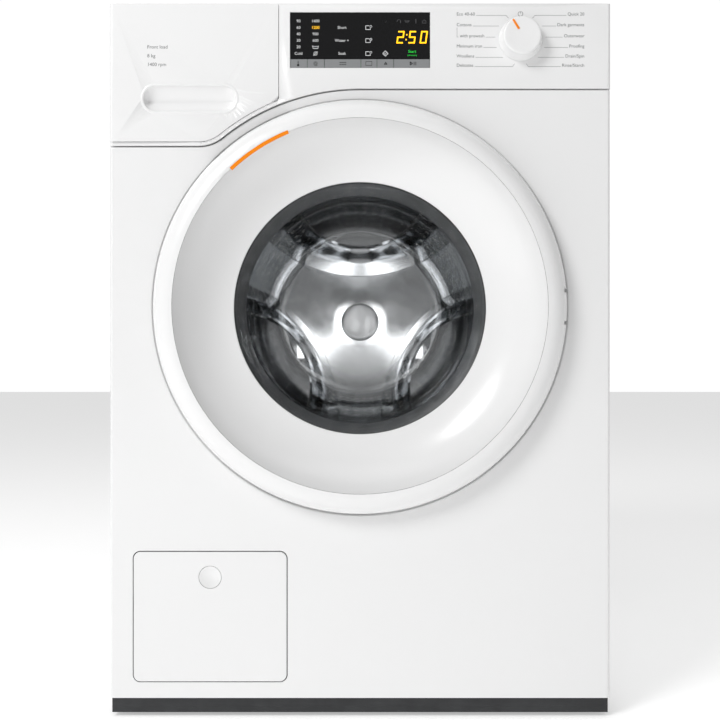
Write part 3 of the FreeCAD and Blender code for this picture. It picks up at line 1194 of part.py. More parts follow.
# ------------------------------------------------------------------ lower front
def make_flap():
    """Service flap over the filter, with its round push button."""
    front = -0.4
    back = front + FLAP_THICKNESS
    flap = plate(rounded(FLAP_X0, FLAP_X1, FLAP_Z0, FLAP_Z1, FLAP_CORNER_R), front, back)
    z = FLAP_Z0 + FLAP_HINGE_Z
    r = FLAP_HINGE_R
    for x0, x1 in ((FLAP_X0 + 14, FLAP_X0 + 38), (FLAP_X1 - 38, FLAP_X1 - 14)):
        flap = flap.fuse(block(x0, x1, back - 0.5, back + r, z - r, z + r))
        flap = flap.fuse(rod((x0, back + r, z), (x1, back + r, z), r))
    hole = BUTTON_R + BUTTON_CLEARANCE
    flap = flap.cut(rod((BUTTON_X, front - 1, BUTTON_Z), (BUTTON_X, back + 1, BUTTON_Z), hole))
    for x0, x1 in ((FLAP_X0 + 14, FLAP_X0 + 38), (FLAP_X1 - 38, FLAP_X1 - 14)):
        flap = flap.cut(rod((x0 - 1, back + r, z), (x1 + 1, back + r, z), 1 + SHAFT_CLEARANCE))
    save("service_flap", flap)
    body = turned([(0, front + 1.2), (BUTTON_R, front, (BUTTON_R / 2, front + 0.9)),
                   (BUTTON_R, front + BUTTON_THICKNESS), (0, front + BUTTON_THICKNESS)],
                  BUTTON_X, BUTTON_Z)
    save("flap_button", body)
    wx0, wx1, wz0, wz1 = well_place()
    edge = WELL_WALL
    well = block(wx0, wx1, SHEET, WELL_DEPTH, wz0, wz1)
    well = well.cut(block(wx0 + edge, wx1 - edge, 0, WELL_DEPTH - edge, wz0 + edge, wz1 - edge))
    well = well.cut(rod((BUTTON_X, 0, FILTER_Z), (BUTTON_X, REAR, FILTER_Z), FILTER_R + FIT_GAP))
    pin_u = back + r
    rib = 2 * r
    pins = []
    for x0, x1 in ((FLAP_X0 + 8, FLAP_X0 + 44), (FLAP_X1 - 44, FLAP_X1 - 8)):
        pins.append(rod((x0, pin_u, z), (x1, pin_u, z), 1))
        for x in (x0, x1 - rib):
            pins.append(block(x, x + rib, pin_u, WELL_DEPTH - edge, z - 0.8 * r, z + rib))
    save("filter_well", joined([well] + pins))


def well_place():
    """Left, right, lower and upper outside faces of the well behind the flap."""
    beside = FLAP_GAP + WELL_WALL
    swing = math.hypot(FLAP_HINGE_Z, FLAP_THICKNESS + FLAP_HINGE_R)
    low = FLAP_Z0 + FLAP_HINGE_Z - swing - FLAP_GAP / 2 - WELL_WALL
    return FLAP_X0 - beside, FLAP_X1 + beside, low, FLAP_Z1 + beside


def make_pump():
    """Drain pump and filter cap; returns the outlet pipe and the rear fittings."""
    x, z = BUTTON_X, FILTER_Z
    u0 = WELL_DEPTH - PUMP_IN_WELL
    u1 = u0 + PUMP_LENGTH
    motor_u = u1 + PUMP_COLLAR
    pipe_u = u1 + PUMP_COLLAR / 2
    collar_r = FILTER_R + PUMP_COLLAR_WALL
    housing = tube((x, u0, z), (x, u1, z), FILTER_R, FILTER_R - PUMP_WALL)
    housing = housing.fuse(rod((x, u1, z), (x, motor_u, z), collar_r))
    housing = housing.fuse(rod((x, motor_u, z), (x, motor_u + PUMP_MOTOR_LENGTH, z), PUMP_MOTOR_R))
    sx, su = sump_place()
    stub = tube((x + FILTER_R - 1, su, z), (x + FILTER_R + 3 * HOSE_R / 2, su, z),
                HOSE_R - HOSE_WALL, HOSE_R - 2 * HOSE_WALL)
    housing = housing.fuse(stub)
    for du in (u0 + 30, u1 + 10):
        housing = housing.fuse(block(x - 16, x + 16, du, du + 6, BASE_BOTTOM + BASE_WALL,
                                     z - FILTER_R + 1))
    save("drain_pump", housing)
    cap_r = FILTER_CAP_R
    core = FILTER_R - PUMP_WALL - FIT_GAP
    cap = rod((x, u0 - CAP_FLANGE, z), (x, u0 - FIT_GAP, z), cap_r)
    cap = cap.fuse(rod((x, u0 - FIT_GAP, z), (x, u0 + 40, z), core - 0.2))
    cap = cap.fuse(block(x - cap_r + 5, x + cap_r - 5, u0 - CAP_FLANGE - CAP_GRIP[0],
                        u0 - CAP_FLANGE, z - CAP_GRIP[1] / 2, z + CAP_GRIP[1] / 2))
    save("pump_filter_cap", cap)
    px = OUTLET_X
    start = at(x, pipe_u, z + collar_r)
    rise = z + 3 * FILTER_R
    corner = DRAIN_BEND
    k = corner * (1 - math.sqrt(0.5))
    route = Part.Wire([
        Part.LineSegment(start, at(x, pipe_u, rise - corner)).toShape(),
        Part.Arc(at(x, pipe_u, rise - corner), at(x, pipe_u + k, rise - k),
                 at(x, pipe_u + corner, rise)).toShape(),
        Part.LineSegment(at(x, pipe_u + corner, rise), at(x, REAR - 60, rise)).toShape()])
    pipe = route.makePipeShell([Part.Wire([Part.makeCircle(DRAIN_R, start, Vector(0, 0, 1))])],
                               True, False)
    drop = rod((x, REAR - 60, rise), (px, REAR - 40, OUTLET_Z), DRAIN_R)
    tail = rod((px, REAR - 40, OUTLET_Z), (px, REAR - SHEET - 8, OUTLET_Z), DRAIN_R)
    knees = [Part.makeSphere(DRAIN_R, at(x, REAR - 60, rise)),
             Part.makeSphere(DRAIN_R, at(px, REAR - 40, OUTLET_Z))]
    drain = joined([pipe, drop, tail] + knees)
    shoulder = REAR + SPIGOT_SHOULDER
    spigot = tube((px, REAR - SHEET - 8, OUTLET_Z), (px, shoulder, OUTLET_Z),
                  OUTLET_R - SPIGOT_SHOULDER, OUTLET_R - 4)
    spigot = spigot.fuse(tube((px, shoulder, OUTLET_Z), (px, REAR + SPIGOT_PROUD - 3, OUTLET_Z),
                              OUTLET_R, OUTLET_R - 4)).removeSplitter()
    gx = GLAND_X
    gland = tube((gx, REAR - 12, OUTLET_Z), (gx, REAR + 8, OUTLET_Z), CORD_GLAND_R,
                 CORD_GLAND_R - 5)
    flange = tube((gx, REAR, OUTLET_Z), (gx, REAR + 2, OUTLET_Z), CORD_GLAND_R + 4,
                  CORD_GLAND_R - 5)
    return drain, [spigot, gland.fuse(flange).removeSplitter()]


def main():
    """Build every sub-part."""
    os.makedirs("parts", exist_ok=True)
    for make in (make_front_panel, make_side_panels, make_base_tray, make_feet, make_top,
                 make_screws, make_fascia, make_display, make_knob, make_drawer,
                 make_door_rings, make_door_inside, make_hinge, make_lock, make_gasket,
                 make_drum, make_tub, make_drive, make_suspension, make_flap):
        make()
    caps = make_rear()
    inlet_pipe = make_dispenser()
    drain_pipe, fittings = make_pump()
    save("inner_pipes", Part.makeCompound([inlet_pipe, drain_pipe]))
    save("rear_fittings", Part.makeCompound(caps + fittings))


main()
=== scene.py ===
import json
import math

import bmesh
import bpy
from mathutils import Matrix, Vector


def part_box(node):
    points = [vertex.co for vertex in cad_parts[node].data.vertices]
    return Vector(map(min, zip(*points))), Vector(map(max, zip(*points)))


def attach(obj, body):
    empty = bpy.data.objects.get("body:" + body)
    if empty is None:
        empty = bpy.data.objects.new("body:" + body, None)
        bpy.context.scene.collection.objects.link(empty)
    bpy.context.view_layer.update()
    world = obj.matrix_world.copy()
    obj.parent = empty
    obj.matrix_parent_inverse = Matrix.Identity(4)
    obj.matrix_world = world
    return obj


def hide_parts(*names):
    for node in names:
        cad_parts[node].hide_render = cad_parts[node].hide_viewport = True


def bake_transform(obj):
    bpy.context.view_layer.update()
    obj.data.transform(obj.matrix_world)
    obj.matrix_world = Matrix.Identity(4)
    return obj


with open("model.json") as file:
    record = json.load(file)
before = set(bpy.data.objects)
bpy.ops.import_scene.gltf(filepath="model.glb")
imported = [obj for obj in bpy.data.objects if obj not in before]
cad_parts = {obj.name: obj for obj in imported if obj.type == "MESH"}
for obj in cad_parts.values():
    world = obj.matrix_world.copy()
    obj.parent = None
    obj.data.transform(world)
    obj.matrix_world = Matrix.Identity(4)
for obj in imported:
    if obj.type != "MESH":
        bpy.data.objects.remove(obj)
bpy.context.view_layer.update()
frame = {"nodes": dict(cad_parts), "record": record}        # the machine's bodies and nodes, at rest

bl_info = {
    "name": "Front Loading Washer",
    "version": (1, 0, 0),
    "blender": (4, 5, 0),
    "location": "3D View > Sidebar > Washer",
    "description": "Finishes, door, drum, fascia and stage of a front loading washing machine",
    "category": "Object",
}

# Places are in millimetres: x to the right, u back from the face of the front panel, z up
# from the floor. at() turns them into metres in the frame.
MM = 0.001
LOW, HIGH = 0, 1
FRONT_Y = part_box("front_panel")[LOW][1]


def spread(node, axis):
    """Lowest and highest place of a node along an axis, in millimetres (1 gives depths u)."""
    shift = FRONT_Y if axis == 1 else 0.0
    return tuple((corner[axis] - shift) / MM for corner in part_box(node))


def at(x, u, z):
    return Vector((x * MM, FRONT_Y + u * MM, z * MM))


DOOR_Z = sum(spread("door_dish_ring", 2)) / 2
CREST_U = spread("door_dish_ring", 1)[LOW]
CREST_R = spread("door_dish_ring", 0)[HIGH]
DISH_U = spread("door_dish_ring", 1)[HIGH]
FASCIA_U = spread("control_fascia", 1)[LOW]
DISPLAY = spread("display_window", 0), spread("display_window", 2)
DISPLAY_U = spread("display_window", 1)[LOW]
KEYS = spread("touch_keys", 0), spread("touch_keys", 2)
KNOB_X = sum(spread("selector_knob", 0)) / 2
KNOB_Z = sum(spread("selector_knob", 2)) / 2
KNOB_R = (spread("selector_knob", 0)[HIGH] - spread("selector_knob", 0)[LOW]) / 2
KNOB_U = spread("selector_knob", 1)
DRAWER = spread("drawer_front", 0), spread("drawer_front", 2)
DRUM_R = spread("drum_shell", 0)[HIGH]
DRUM_U = spread("drum_shell", 1)
BACK_U = spread("drum_back", 1)
PADDLE_U = spread("drum_paddles", 1)
GLASS_U = spread("door_glass", 1)
GLASS_R = spread("door_glass", 0)[HIGH]
GASKET_U = spread("door_gasket", 1)


# ------------------------------------------------------------------ settings
class FinishSettings(bpy.types.PropertyGroup):
    """Colours of the finishes."""
    enamel: bpy.props.StringProperty(
        name="Enamel", description="Colour of the painted panels, as sRGB hex", default="#F1F1F1")
    accent: bpy.props.StringProperty(
        name="Accent", description="Colour of the marker and the selector's line, as sRGB hex",
        default="#F98A06")
    figures: bpy.props.StringProperty(
        name="Lit figures", description="Colour of the lit figures, as sRGB hex", default="#FFC21A")
    start: bpy.props.StringProperty(
        name="Start light", description="Colour of the start field's light, as sRGB hex",
        default="#19C23A")


class DrumSettings(bpy.types.PropertyGroup):
    """Sizes of the drum's visible details."""
    pitch: bpy.props.FloatProperty(
        name="Hole pitch", description="Distance between the drum's holes", default=22 * MM,
        min=0.01, unit="LENGTH")
    hole: bpy.props.FloatProperty(
        name="Hole", description="Width of a hole in the drum's wall", default=3.6 * MM,
        unit="LENGTH")
    cap: bpy.props.FloatProperty(
        name="Hub cap hexagon", description="Radius of the hexagon on the hub cap",
        default=19 * MM, unit="LENGTH")


class FasciaSettings(bpy.types.PropertyGroup):
    """What the control fascia shows."""
    hours: bpy.props.IntProperty(
        name="Hours", description="Hours left on the display", default=2, min=0, max=9)
    minutes: bpy.props.IntProperty(
        name="Minutes", description="Minutes left on the display", default=50, min=0, max=59)
    selector: bpy.props.FloatProperty(
        name="Selector", description="Angle of the selector's line, left of straight up",
        default=math.radians(32), subtype="ANGLE", unit="ROTATION")


class StageSettings(bpy.types.PropertyGroup):
    """Camera and light of the stage."""
    distance: bpy.props.FloatProperty(
        name="Camera distance", description="From the front panel to the camera", default=1.2,
        unit="LENGTH")
    lens: bpy.props.FloatProperty(
        name="Lens", description="Focal length for a 36 mm sensor, in millimetres", default=50.4)
    key: bpy.props.FloatProperty(
        name="Key light", description="Power of the light at the upper left", default=56.0,
        unit="POWER")
    ambient: bpy.props.FloatProperty(
        name="Ambient", description="Strength of the light from all round", default=0.33)
    drum_light: bpy.props.FloatProperty(
        name="Drum light", description="Power of each strip that lights the drum", default=0.08,
        unit="POWER")
    height: bpy.props.FloatProperty(
        name="Camera height", description="From the floor to the camera", default=0.4263,
        unit="LENGTH")
    floor: bpy.props.StringProperty(
        name="Floor", description="Colour of the floor, as sRGB hex", default="#FAFAFA")


# ------------------------------------------------------------------ materials
def linear(colour):
    """sRGB hex to a linear colour with alpha."""
    parts = [int(colour[i:i + 2], 16) / 255 for i in (1, 3, 5)]
    return tuple(c / 12.92 if c <= 0.04045 else ((c + 0.055) / 1.055) ** 2.4
                 for c in parts) + (1.0,)


def add(tree, kind, inputs=None, **settings):
    """Adds a node, sets its own settings, and gives its inputs a value or a link."""
    made = tree.nodes.new(kind)
    for name, value in settings.items():
        setattr(made, name, value)
    for name, value in (inputs or {}).items():
        if isinstance(value, bpy.types.NodeSocket):
            tree.links.new(value, made.inputs[name])
        else:
            made.inputs[name].default_value = value
    return made


def finish(name, colour, roughness, **values):
    """A material with one surface shader; returns it, its tree, shader and coordinates."""
    material = bpy.data.materials.new(name)
    material.use_nodes = True
    tree = material.node_tree
    shader = tree.nodes["Principled BSDF"]
    for socket, value in dict(values, Base_Color=linear(colour), Roughness=roughness).items():
        shader.inputs[socket.replace("_", " ")].default_value = value
    material.diffuse_color = linear(colour)
    place = add(tree, "ShaderNodeTexCoord").outputs["Object"]
    return material, tree, shader, place


def relief(tree, shader, height, depth_mm):
    """Lets a height from 0 to 1 stand up by a depth."""
    bump = add(tree, "ShaderNodeBump", {"Height": height, "Distance": depth_mm * MM})
    tree.links.new(bump.outputs["Normal"], shader.inputs["Normal"])


def grain(tree, place, size_mm, detail=2.0):
    """Noise whose features are about a size across."""
    noise = add(tree, "ShaderNodeTexNoise", {"Vector": place, "Scale": 1 / (size_mm * MM),
                                             "Detail": detail})
    return noise.outputs["Fac"]


def tint(tree, shader, height, colour_a, colour_b, low=0.35, high=0.65):
    """Varies the base colour between two colours."""
    ramp = add(tree, "ShaderNodeValToRGB", {"Fac": height})
    ramp.color_ramp.elements[0].position = low
    ramp.color_ramp.elements[0].color = linear(colour_a)
    ramp.color_ramp.elements[1].position = high
    ramp.color_ramp.elements[1].color = linear(colour_b)
    tree.links.new(ramp.outputs["Color"], shader.inputs["Base Color"])


def vary_gloss(tree, shader, height, low, high):
    """Varies the roughness between two values."""
    span = add(tree, "ShaderNodeMapRange", {"Value": height, "From Min": 0.2, "From Max": 0.8,
                                            "To Min": low, "To Max": high})
    tree.links.new(span.outputs["Result"], shader.inputs["Roughness"])


def painted_steel(name, colour):
    """Baked enamel on sheet steel: glossy, with the faint orange peel of sprayed paint."""
    material, tree, shader, place = finish(name, colour, 0.22, Coat_Weight=0.3,
                                           Coat_Roughness=0.08)
    vary_gloss(tree, shader, grain(tree, place, 300, 0.0), 0.215, 0.23)
    relief(tree, shader, grain(tree, place, 3), 0.008)
    return material


def moulded(name, colour, roughness, grain_mm=0.9, depth_mm=0.01, shade=None, **values):
    """Injection moulded plastic: even colour with the fine spark-eroded grain of its mould."""
    material, tree, shader, place = finish(name, colour, roughness, **values)
    if shade:
        tint(tree, shader, grain(tree, place, 25, 4.0), shade, colour)
    vary_gloss(tree, shader, grain(tree, place, 200, 0.0), roughness - 0.01, roughness + 0.01)
    # 0.1 mm grain is too fine to show, so it is drawn as grain_mm
    relief(tree, shader, grain(tree, place, grain_mm), depth_mm)
    return material


def galvanised():
    """Hot dipped zinc on steel: grey metal with the frosted flakes called spangle."""
    material, tree, shader, place = finish("galvanised_steel", "#B9BCBE", 0.38, Metallic=1.0)
    flakes = add(tree, "ShaderNodeTexVoronoi", {"Vector": place, "Scale": 1 / (9 * MM)})
    grey = add(tree, "ShaderNodeRGBToBW", {"Color": flakes.outputs["Color"]})
    tint(tree, shader, grey.outputs["Val"], "#9EA2A5", "#C8CBCD", 0.2, 0.8)
    vary_gloss(tree, shader, grey.outputs["Val"], 0.3, 0.5)
    return material


def polished_steel(name, colour, roughness, anisotropic=0.0):
    """Stainless sheet polished round the axis: dark and bright reflections drawn out."""
    material, tree, shader, place = finish(name, colour, roughness, Metallic=1.0,
                                           Anisotropic=anisotropic)
    if anisotropic:
        round_y = add(tree, "ShaderNodeTangent", direction_type="RADIAL", axis="Y")
        tree.links.new(round_y.outputs["Tangent"], shader.inputs["Tangent"])
    vary_gloss(tree, shader, grain(tree, place, 14), roughness * 0.8, roughness * 1.3)
    relief(tree, shader, grain(tree, place, 5), 0.01)
    return material


def drawn_steel(name, colour, roughness):
    """Drawn wire: bright steel, uneven in gloss where the die rubbed it."""
    material, tree, shader, place = finish(name, colour, roughness, Metallic=1.0)
    vary_gloss(tree, shader, grain(tree, place, 1.5, 4.0), roughness - 0.08, roughness + 0.1)
    return material


def cast_metal(name, colour, roughness):
    """Die cast aluminium: dull silver with the rough skin of the mould."""
    material, tree, shader, place = finish(name, colour, roughness, Metallic=1.0)
    skin = grain(tree, place, 2.2, 6.0)
    tint(tree, shader, skin, "#8E9092", colour)
    relief(tree, shader, skin, 0.12)
    return material


def rubber(name, colour, roughness=0.55, bloom="#3A3A3A"):
    """Moulded EPDM rubber: matt, with the pale bloom that comes to its surface."""
    material, tree, shader, place = finish(name, colour, roughness)
    tint(tree, shader, grain(tree, place, 18, 6.0), colour, bloom, 0.4, 0.75)
    relief(tree, shader, grain(tree, place, 0.8), 0.02)
    return material


def concrete():
    """Cast concrete: pale grey with dark sand grains and small pits."""
    material, tree, shader, place = finish("cast_concrete", "#9A9893", 0.9)
    sand = grain(tree, place, 2.5, 8.0)
    tint(tree, shader, sand, "#77756F", "#ABA9A3")
    relief(tree, shader, sand, 0.4)
    return material


def board():
    """Circuit board under its green solder mask, with paler copper runs beneath."""
    material, tree, shader, place = finish("solder_mask", "#1C5B33", 0.35)
    runs = add(tree, "ShaderNodeTexVoronoi", {"Vector": place, "Scale": 1 / (6 * MM)},
               distance="MANHATTAN", feature="DISTANCE_TO_EDGE")
    tint(tree, shader, runs.outputs["Distance"], "#2E7D46", "#174D2A", 0.05, 0.12)
    return material


def window_black():
    """Smoked acrylic window, printed black from behind: deep and very glossy."""
    material, tree, shader, place = finish("smoked_acrylic", "#0B0B0D", 0.06, Coat_Weight=0.5,
                                           Coat_Roughness=0.02)
    vary_gloss(tree, shader, grain(tree, place, 40), 0.05, 0.09)
    return material


def bowl_glass():
    """Pressed borosilicate glass: clear, with a slight waviness left by the mould."""
    material, tree, shader, place = finish("pressed_glass", "#F4F7F6", 0.0, IOR=1.47,
                                           Transmission_Weight=1.0, Alpha=0.12)
    relief(tree, shader, grain(tree, place, 45, 0.0), 0.25)
    return material


def print_ink(name, colour, roughness=0.5):
    """Pad printing ink: thin, even and matt, a little uneven in gloss."""
    material, tree, shader, place = finish(name, colour, roughness)
    vary_gloss(tree, shader, grain(tree, place, 1.0), roughness - 0.05, roughness + 0.1)
    return material


def lit_ink(name, colour, strength):
    """Back-lit figure: its own light comes evenly through a translucent print."""
    material, tree, shader, place = finish(name, colour, 0.4, Emission_Color=linear(colour),
                                           Emission_Strength=strength)
    tint(tree, shader, grain(tree, place, 1.0), colour, colour)
    return material


def make_materials(colours):
    """Every finish, by the record's material slot or by its own name."""
    return {
        "white_enamel": painted_steel("enamelled_steel_white", colours.enamel),
        "zinc_steel": galvanised(),
        "white_abs": moulded("abs_white_gloss", "#F1F1F1", 0.25, 1.2, 0.006, Coat_Weight=0.2),
        "white_laminate": moulded("laminate_white", "#F0F0F0", 0.42, 0.7, 0.03),
        "dark_pp": moulded("polypropylene_charcoal", "#303133", 0.55, 0.9, 0.03, "#262729"),
        "display_black": window_black(),
        "key_grey": moulded("acrylic_keys_grey", "#8A8C8D", 0.35, 0.8, 0.004),
        "board_green": board(),
        "pale_pp": moulded("polypropylene_natural", "#DAD9D3", 0.45, 1.0, 0.02, "#CFCDC6"),
        "valve_plastic": moulded("nylon_ivory", "#C9C7BD", 0.5, 1.0, 0.02, "#BDBBB0"),
        "hose_rubber": rubber("epdm_hose_black", "#1D1D1E"),
        "lock_black": moulded("nylon_black", "#1A1A1B", 0.45, 0.9, 0.02),
        "spring_steel": drawn_steel("spring_wire", "#8D9093", 0.32),
        "damper_grey": moulded("acetal_grey", "#56585A", 0.45, 0.9, 0.02),
        "gasket_rubber": rubber("epdm_gasket_grey", "#4A4C4E", 0.45, "#5A5C5E"),
        "concrete": concrete(),
        "motor_metal": cast_metal("motor_case_steel", "#9B9DA0", 0.42),
        "belt_rubber": rubber("ribbed_belt_rubber", "#161616", 0.6, "#242424"),
        "drum_steel": polished_steel("stainless_drum", "#C9CBCD", 0.14),
        "drum_back": polished_steel("stainless_drum_back", "#D2D4D6", 0.16, 0.7),
        "paddle_steel": polished_steel("stainless_paddle", "#C4C6C8", 0.1),
        "cap_steel": polished_steel("stainless_satin_cap", "#E4E5E6", 0.5),
        "cast_aluminium": cast_metal("die_cast_aluminium", "#A9ABAD", 0.45),
        "door_glass_clear": bowl_glass(),
        "orange_marker": moulded("abs_orange_gloss", colours.accent, 0.28, 1.0, 0.004),
        "foot_rubber": rubber("foot_rubber_black", "#202021"),
        "ink_grey": print_ink("pad_ink_grey", "#5B5C5E"),
        "ink_black": print_ink("pad_ink_black", "#1B1B1C"),
        "ink_orange": print_ink("pad_ink_orange", colours.accent),
        "ink_pale": lit_ink("legend_white", "#C9CACB", 0.35),
        "ink_dim": print_ink("legend_unlit", "#4A4A4C"),
        "lit_amber": lit_ink("lit_figures_amber", colours.figures, 0.9),
        "lit_green": lit_ink("lit_start_green", colours.start, 0.6),
    }


MATERIALS = {}


# ------------------------------------------------------------------ mesh helpers
def piece(bm, name, body, slot, *nodes, material=None, crease=32.0):
    """Makes a mesh a piece that rides on a body and may stand for CAD nodes."""
    mesh = bpy.data.meshes.new(name)
    bm.to_mesh(mesh)
    bm.free()
    mesh.shade_smooth()
    mesh.set_sharp_from_angle(angle=math.radians(crease))
    mesh.materials.append(MATERIALS[material or slot])
    made = bpy.data.objects.new(name, mesh)
    bpy.context.scene.collection.objects.link(made)
    if nodes:
        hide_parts(*nodes)
    if body:
        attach(made, body)
    return made


def refined(node, body, slot, name, crease=32.0):
    """A smooth copy of a CAD node, with its loose triangles joined."""
    bm = bmesh.new()
    bm.from_mesh(frame["nodes"][node].data)
    bmesh.ops.remove_doubles(bm, verts=bm.verts[:], dist=0.002 * MM)
    made = piece(bm, name, body, slot, node, crease=crease)
    flat = made.modifiers.new("flat_faces_stay_flat", "WEIGHTED_NORMAL")
    flat.keep_sharp = True
    flat.weight = 100
    return made


def bow(start, middle, end, count=10):
    """Points along the arc through three (radius, depth) points."""
    (ax, ay), (bx, by), (cx, cy) = start, middle, end
    d = 2 * (ax * (by - cy) + bx * (cy - ay) + cx * (ay - by))
    squares = [x * x + y * y for x, y in (start, middle, end)]
    ox = (squares[0] * (by - cy) + squares[1] * (cy - ay) + squares[2] * (ay - by)) / d
    oy = (squares[0] * (cx - bx) + squares[1] * (ax - cx) + squares[2] * (bx - ax)) / d
    radius = math.hypot(ax - ox, ay - oy)
    first, mid, last = (math.atan2(y - oy, x - ox) for x, y in (start, middle, end))
    turn = (last - first) % math.tau
    if (mid - first) % math.tau > turn:
        turn -= math.tau
    return [(ox + radius * math.cos(first + turn * k / count),
             oy + radius * math.sin(first + turn * k / count)) for k in range(count + 1)]


def turned(profile, x=0.0, z=None, steps=144, closed=True):
    """A (radius, depth) outline spun round an axis that runs front to back."""
    z = DOOR_Z if z is None else z
    bm = bmesh.new()
    verts = [bm.verts.new(at(x + max(r, 0.0), u, z)) for r, u in profile]
    pairs = list(zip(verts, verts[1:])) + ([(verts[-1], verts[0])] if closed else [])
    edges = [bm.edges.new(pair) for pair in pairs]
    bmesh.ops.spin(bm, geom=verts + edges, cent=at(x, 0, z), axis=(0, 1, 0), dvec=(0, 0, 0),
                   angle=math.tau, steps=steps, use_merge=True, use_duplicate=False)
    bmesh.ops.remove_doubles(bm, verts=bm.verts[:], dist=0.01 * MM)
    bmesh.ops.dissolve_degenerate(bm, edges=bm.edges[:], dist=0.001 * MM)
    bmesh.ops.recalc_face_normals(bm, faces=bm.faces[:])
    return bm


def walled(line, thickness):
    """Closed outline round a (radius, depth) line that is given a thickness."""
    other = []
    for k, (r, u) in enumerate(line):
        r0, u0 = line[max(k - 1, 0)]
        r1, u1 = line[min(k + 1, len(line) - 1)]
        length = math.hypot(r1 - r0, u1 - u0)
        other.append((r - (u1 - u0) / length * thickness, u + (r1 - r0) / length * thickness))
    return line + other[::-1]


def box_in(bm, x0, x1, u0, u1, z0, z1, tilt=0.0):
    """Adds a block between two corners, turned by tilt about its own middle."""
    middle = at((x0 + x1) / 2, (u0 + u1) / 2, (z0 + z1) / 2)
    size = Vector((x1 - x0, u1 - u0, z1 - z0)) * MM
    matrix = Matrix.Translation(middle) @ Matrix.Rotation(tilt, 4, "Y")
    matrix = matrix @ Matrix.Diagonal(size.to_4d())
    return bmesh.ops.create_cube(bm, size=1.0, matrix=matrix)["verts"]


def stroke(bm, points, width, u=DISPLAY_U, depth=0.12, closed=False):
    """Adds a printed line through (x, z) points, as blocks that overlap, on the face at u."""
    pairs = list(zip(points, points[1:])) + ([(points[-1], points[0])] if closed else [])
    for (x0, z0), (x1, z1) in pairs:
        length = math.hypot(x1 - x0, z1 - z0) + width * 0.6
        x, z = (x0 + x1) / 2, (z0 + z1) / 2
        box_in(bm, x - length / 2, x + length / 2, u - depth, u, z - width / 2, z + width / 2,
               -math.atan2(z1 - z0, x1 - x0))


def ring_points(x, z, radius, count=20, start=0.0, turn=360.0):
    """Places on a circle, as (x, z)."""
    return [(x + radius * math.cos(math.radians(start + turn * k / count)),
             z + radius * math.sin(math.radians(start + turn * k / count)))
            for k in range(count + (turn < 360))]


CAPITAL_SHARE = 0.69     # height of a capital in the built-in face, by its size


def lettering(bm, words, size, x, z, u, align="LEFT", slant=0.0):
    """Adds generic words as a thin print; size is the height of a capital letter."""
    curve = bpy.data.curves.new("words", "FONT")
    curve.body = words
    curve.size = size / CAPITAL_SHARE * MM
    curve.align_x = align
    curve.align_y = "CENTER"
    curve.shear = slant
    curve.resolution_u = 3
    curve.extrude = 0.05 * MM
    holder = bpy.data.objects.new("words", curve)
    bpy.context.scene.collection.objects.link(holder)
    mesh = bpy.data.meshes.new_from_object(
        holder.evaluated_get(bpy.context.evaluated_depsgraph_get()))
    mesh.transform(Matrix.Translation(at(x, u, z)) @ Matrix.Rotation(math.pi / 2, 4, "X"))
    bm.from_mesh(mesh)
    bpy.data.objects.remove(holder)
    bpy.data.curves.remove(curve)
    bpy.data.meshes.remove(mesh)


def loop_of(bm, places):
    """Adds a closed loop of edges through places."""
    verts = [bm.verts.new(place) for place in places]
    return [bm.edges.new(pair) for pair in zip(verts, verts[1:] + verts[:1])]


def skin(bm, loops, ring=False):
    """Bridges loops into one surface, joined end to end or closed by a face at each end."""
    for one, two in zip(loops, loops[1:] + (loops[:1] if ring else [])):
        bmesh.ops.bridge_loops(bm, edges=one + two)
    for loop in () if ring else (loops[0], loops[-1]):
        bmesh.ops.contextual_create(bm, geom=loop)
    bmesh.ops.recalc_face_normals(bm, faces=bm.faces[:])


def eased(bm, width, segments):
    """Rounds every edge of a mesh."""
    bmesh.ops.bevel(bm, geom=bm.edges[:], offset=width * MM, offset_type="OFFSET",
                    segments=segments, profile=0.5, affect="EDGES", material=-1)


# ------------------------------------------------------------------ finishes on CAD nodes
class WASHER_OT_finishes(bpy.types.Operator):
    """Gives every CAD node the finish of its material slot"""
    bl_idname = "washer.finishes"
    bl_label = "Finishes"

    def execute(self, context):
        MATERIALS.update(make_materials(context.scene.washer_finish))
        for row in frame["record"]["subparts"]:
            node = frame["nodes"][row["node"]]
            for slot in node.material_slots:
                slot.material = MATERIALS[row["material_slot"]]
        return {"FINISHED"}


class WASHER_OT_cabinet(bpy.types.Operator):
    """Makes the cabinet's visible covers with smooth curves and eased edges"""
    bl_idname = "washer.cabinet"
    bl_label = "Cabinet"

    def execute(self, context):
        refined("front_panel", "cabinet", "white_enamel", "front_panel_pressing")
        refined("control_fascia", "cabinet", "white_abs", "control_fascia_moulding")
        refined("rear_service_cover", "cabinet", "zinc_steel", "rear_service_cover_pressing")
        # The charcoal base tray is partly its own dark plastic and partly painted shade: its dark
        # colour stands for the shadow under the front panel.
        refined("base_tray", "cabinet", "dark_pp", "base_tray_moulding")
        self.worktop()
        for corner in ("front_left", "front_right", "rear_left", "rear_right"):
            refined("foot_" + corner, "foot_" + corner + "_body", "foot_rubber",
                    "foot_" + corner + "_turned")
        return {"FINISHED"}

    def worktop(self):
        """Slab with softened edges."""
        x, u, z = (spread("top_cover", axis) for axis in range(3))
        bm = bmesh.new()
        box_in(bm, x[0], x[1], u[0], u[1], z[0], z[1])
        eased(bm, 2.2, 4)
        piece(bm, "worktop_slab", "cabinet", "white_laminate", "top_cover")


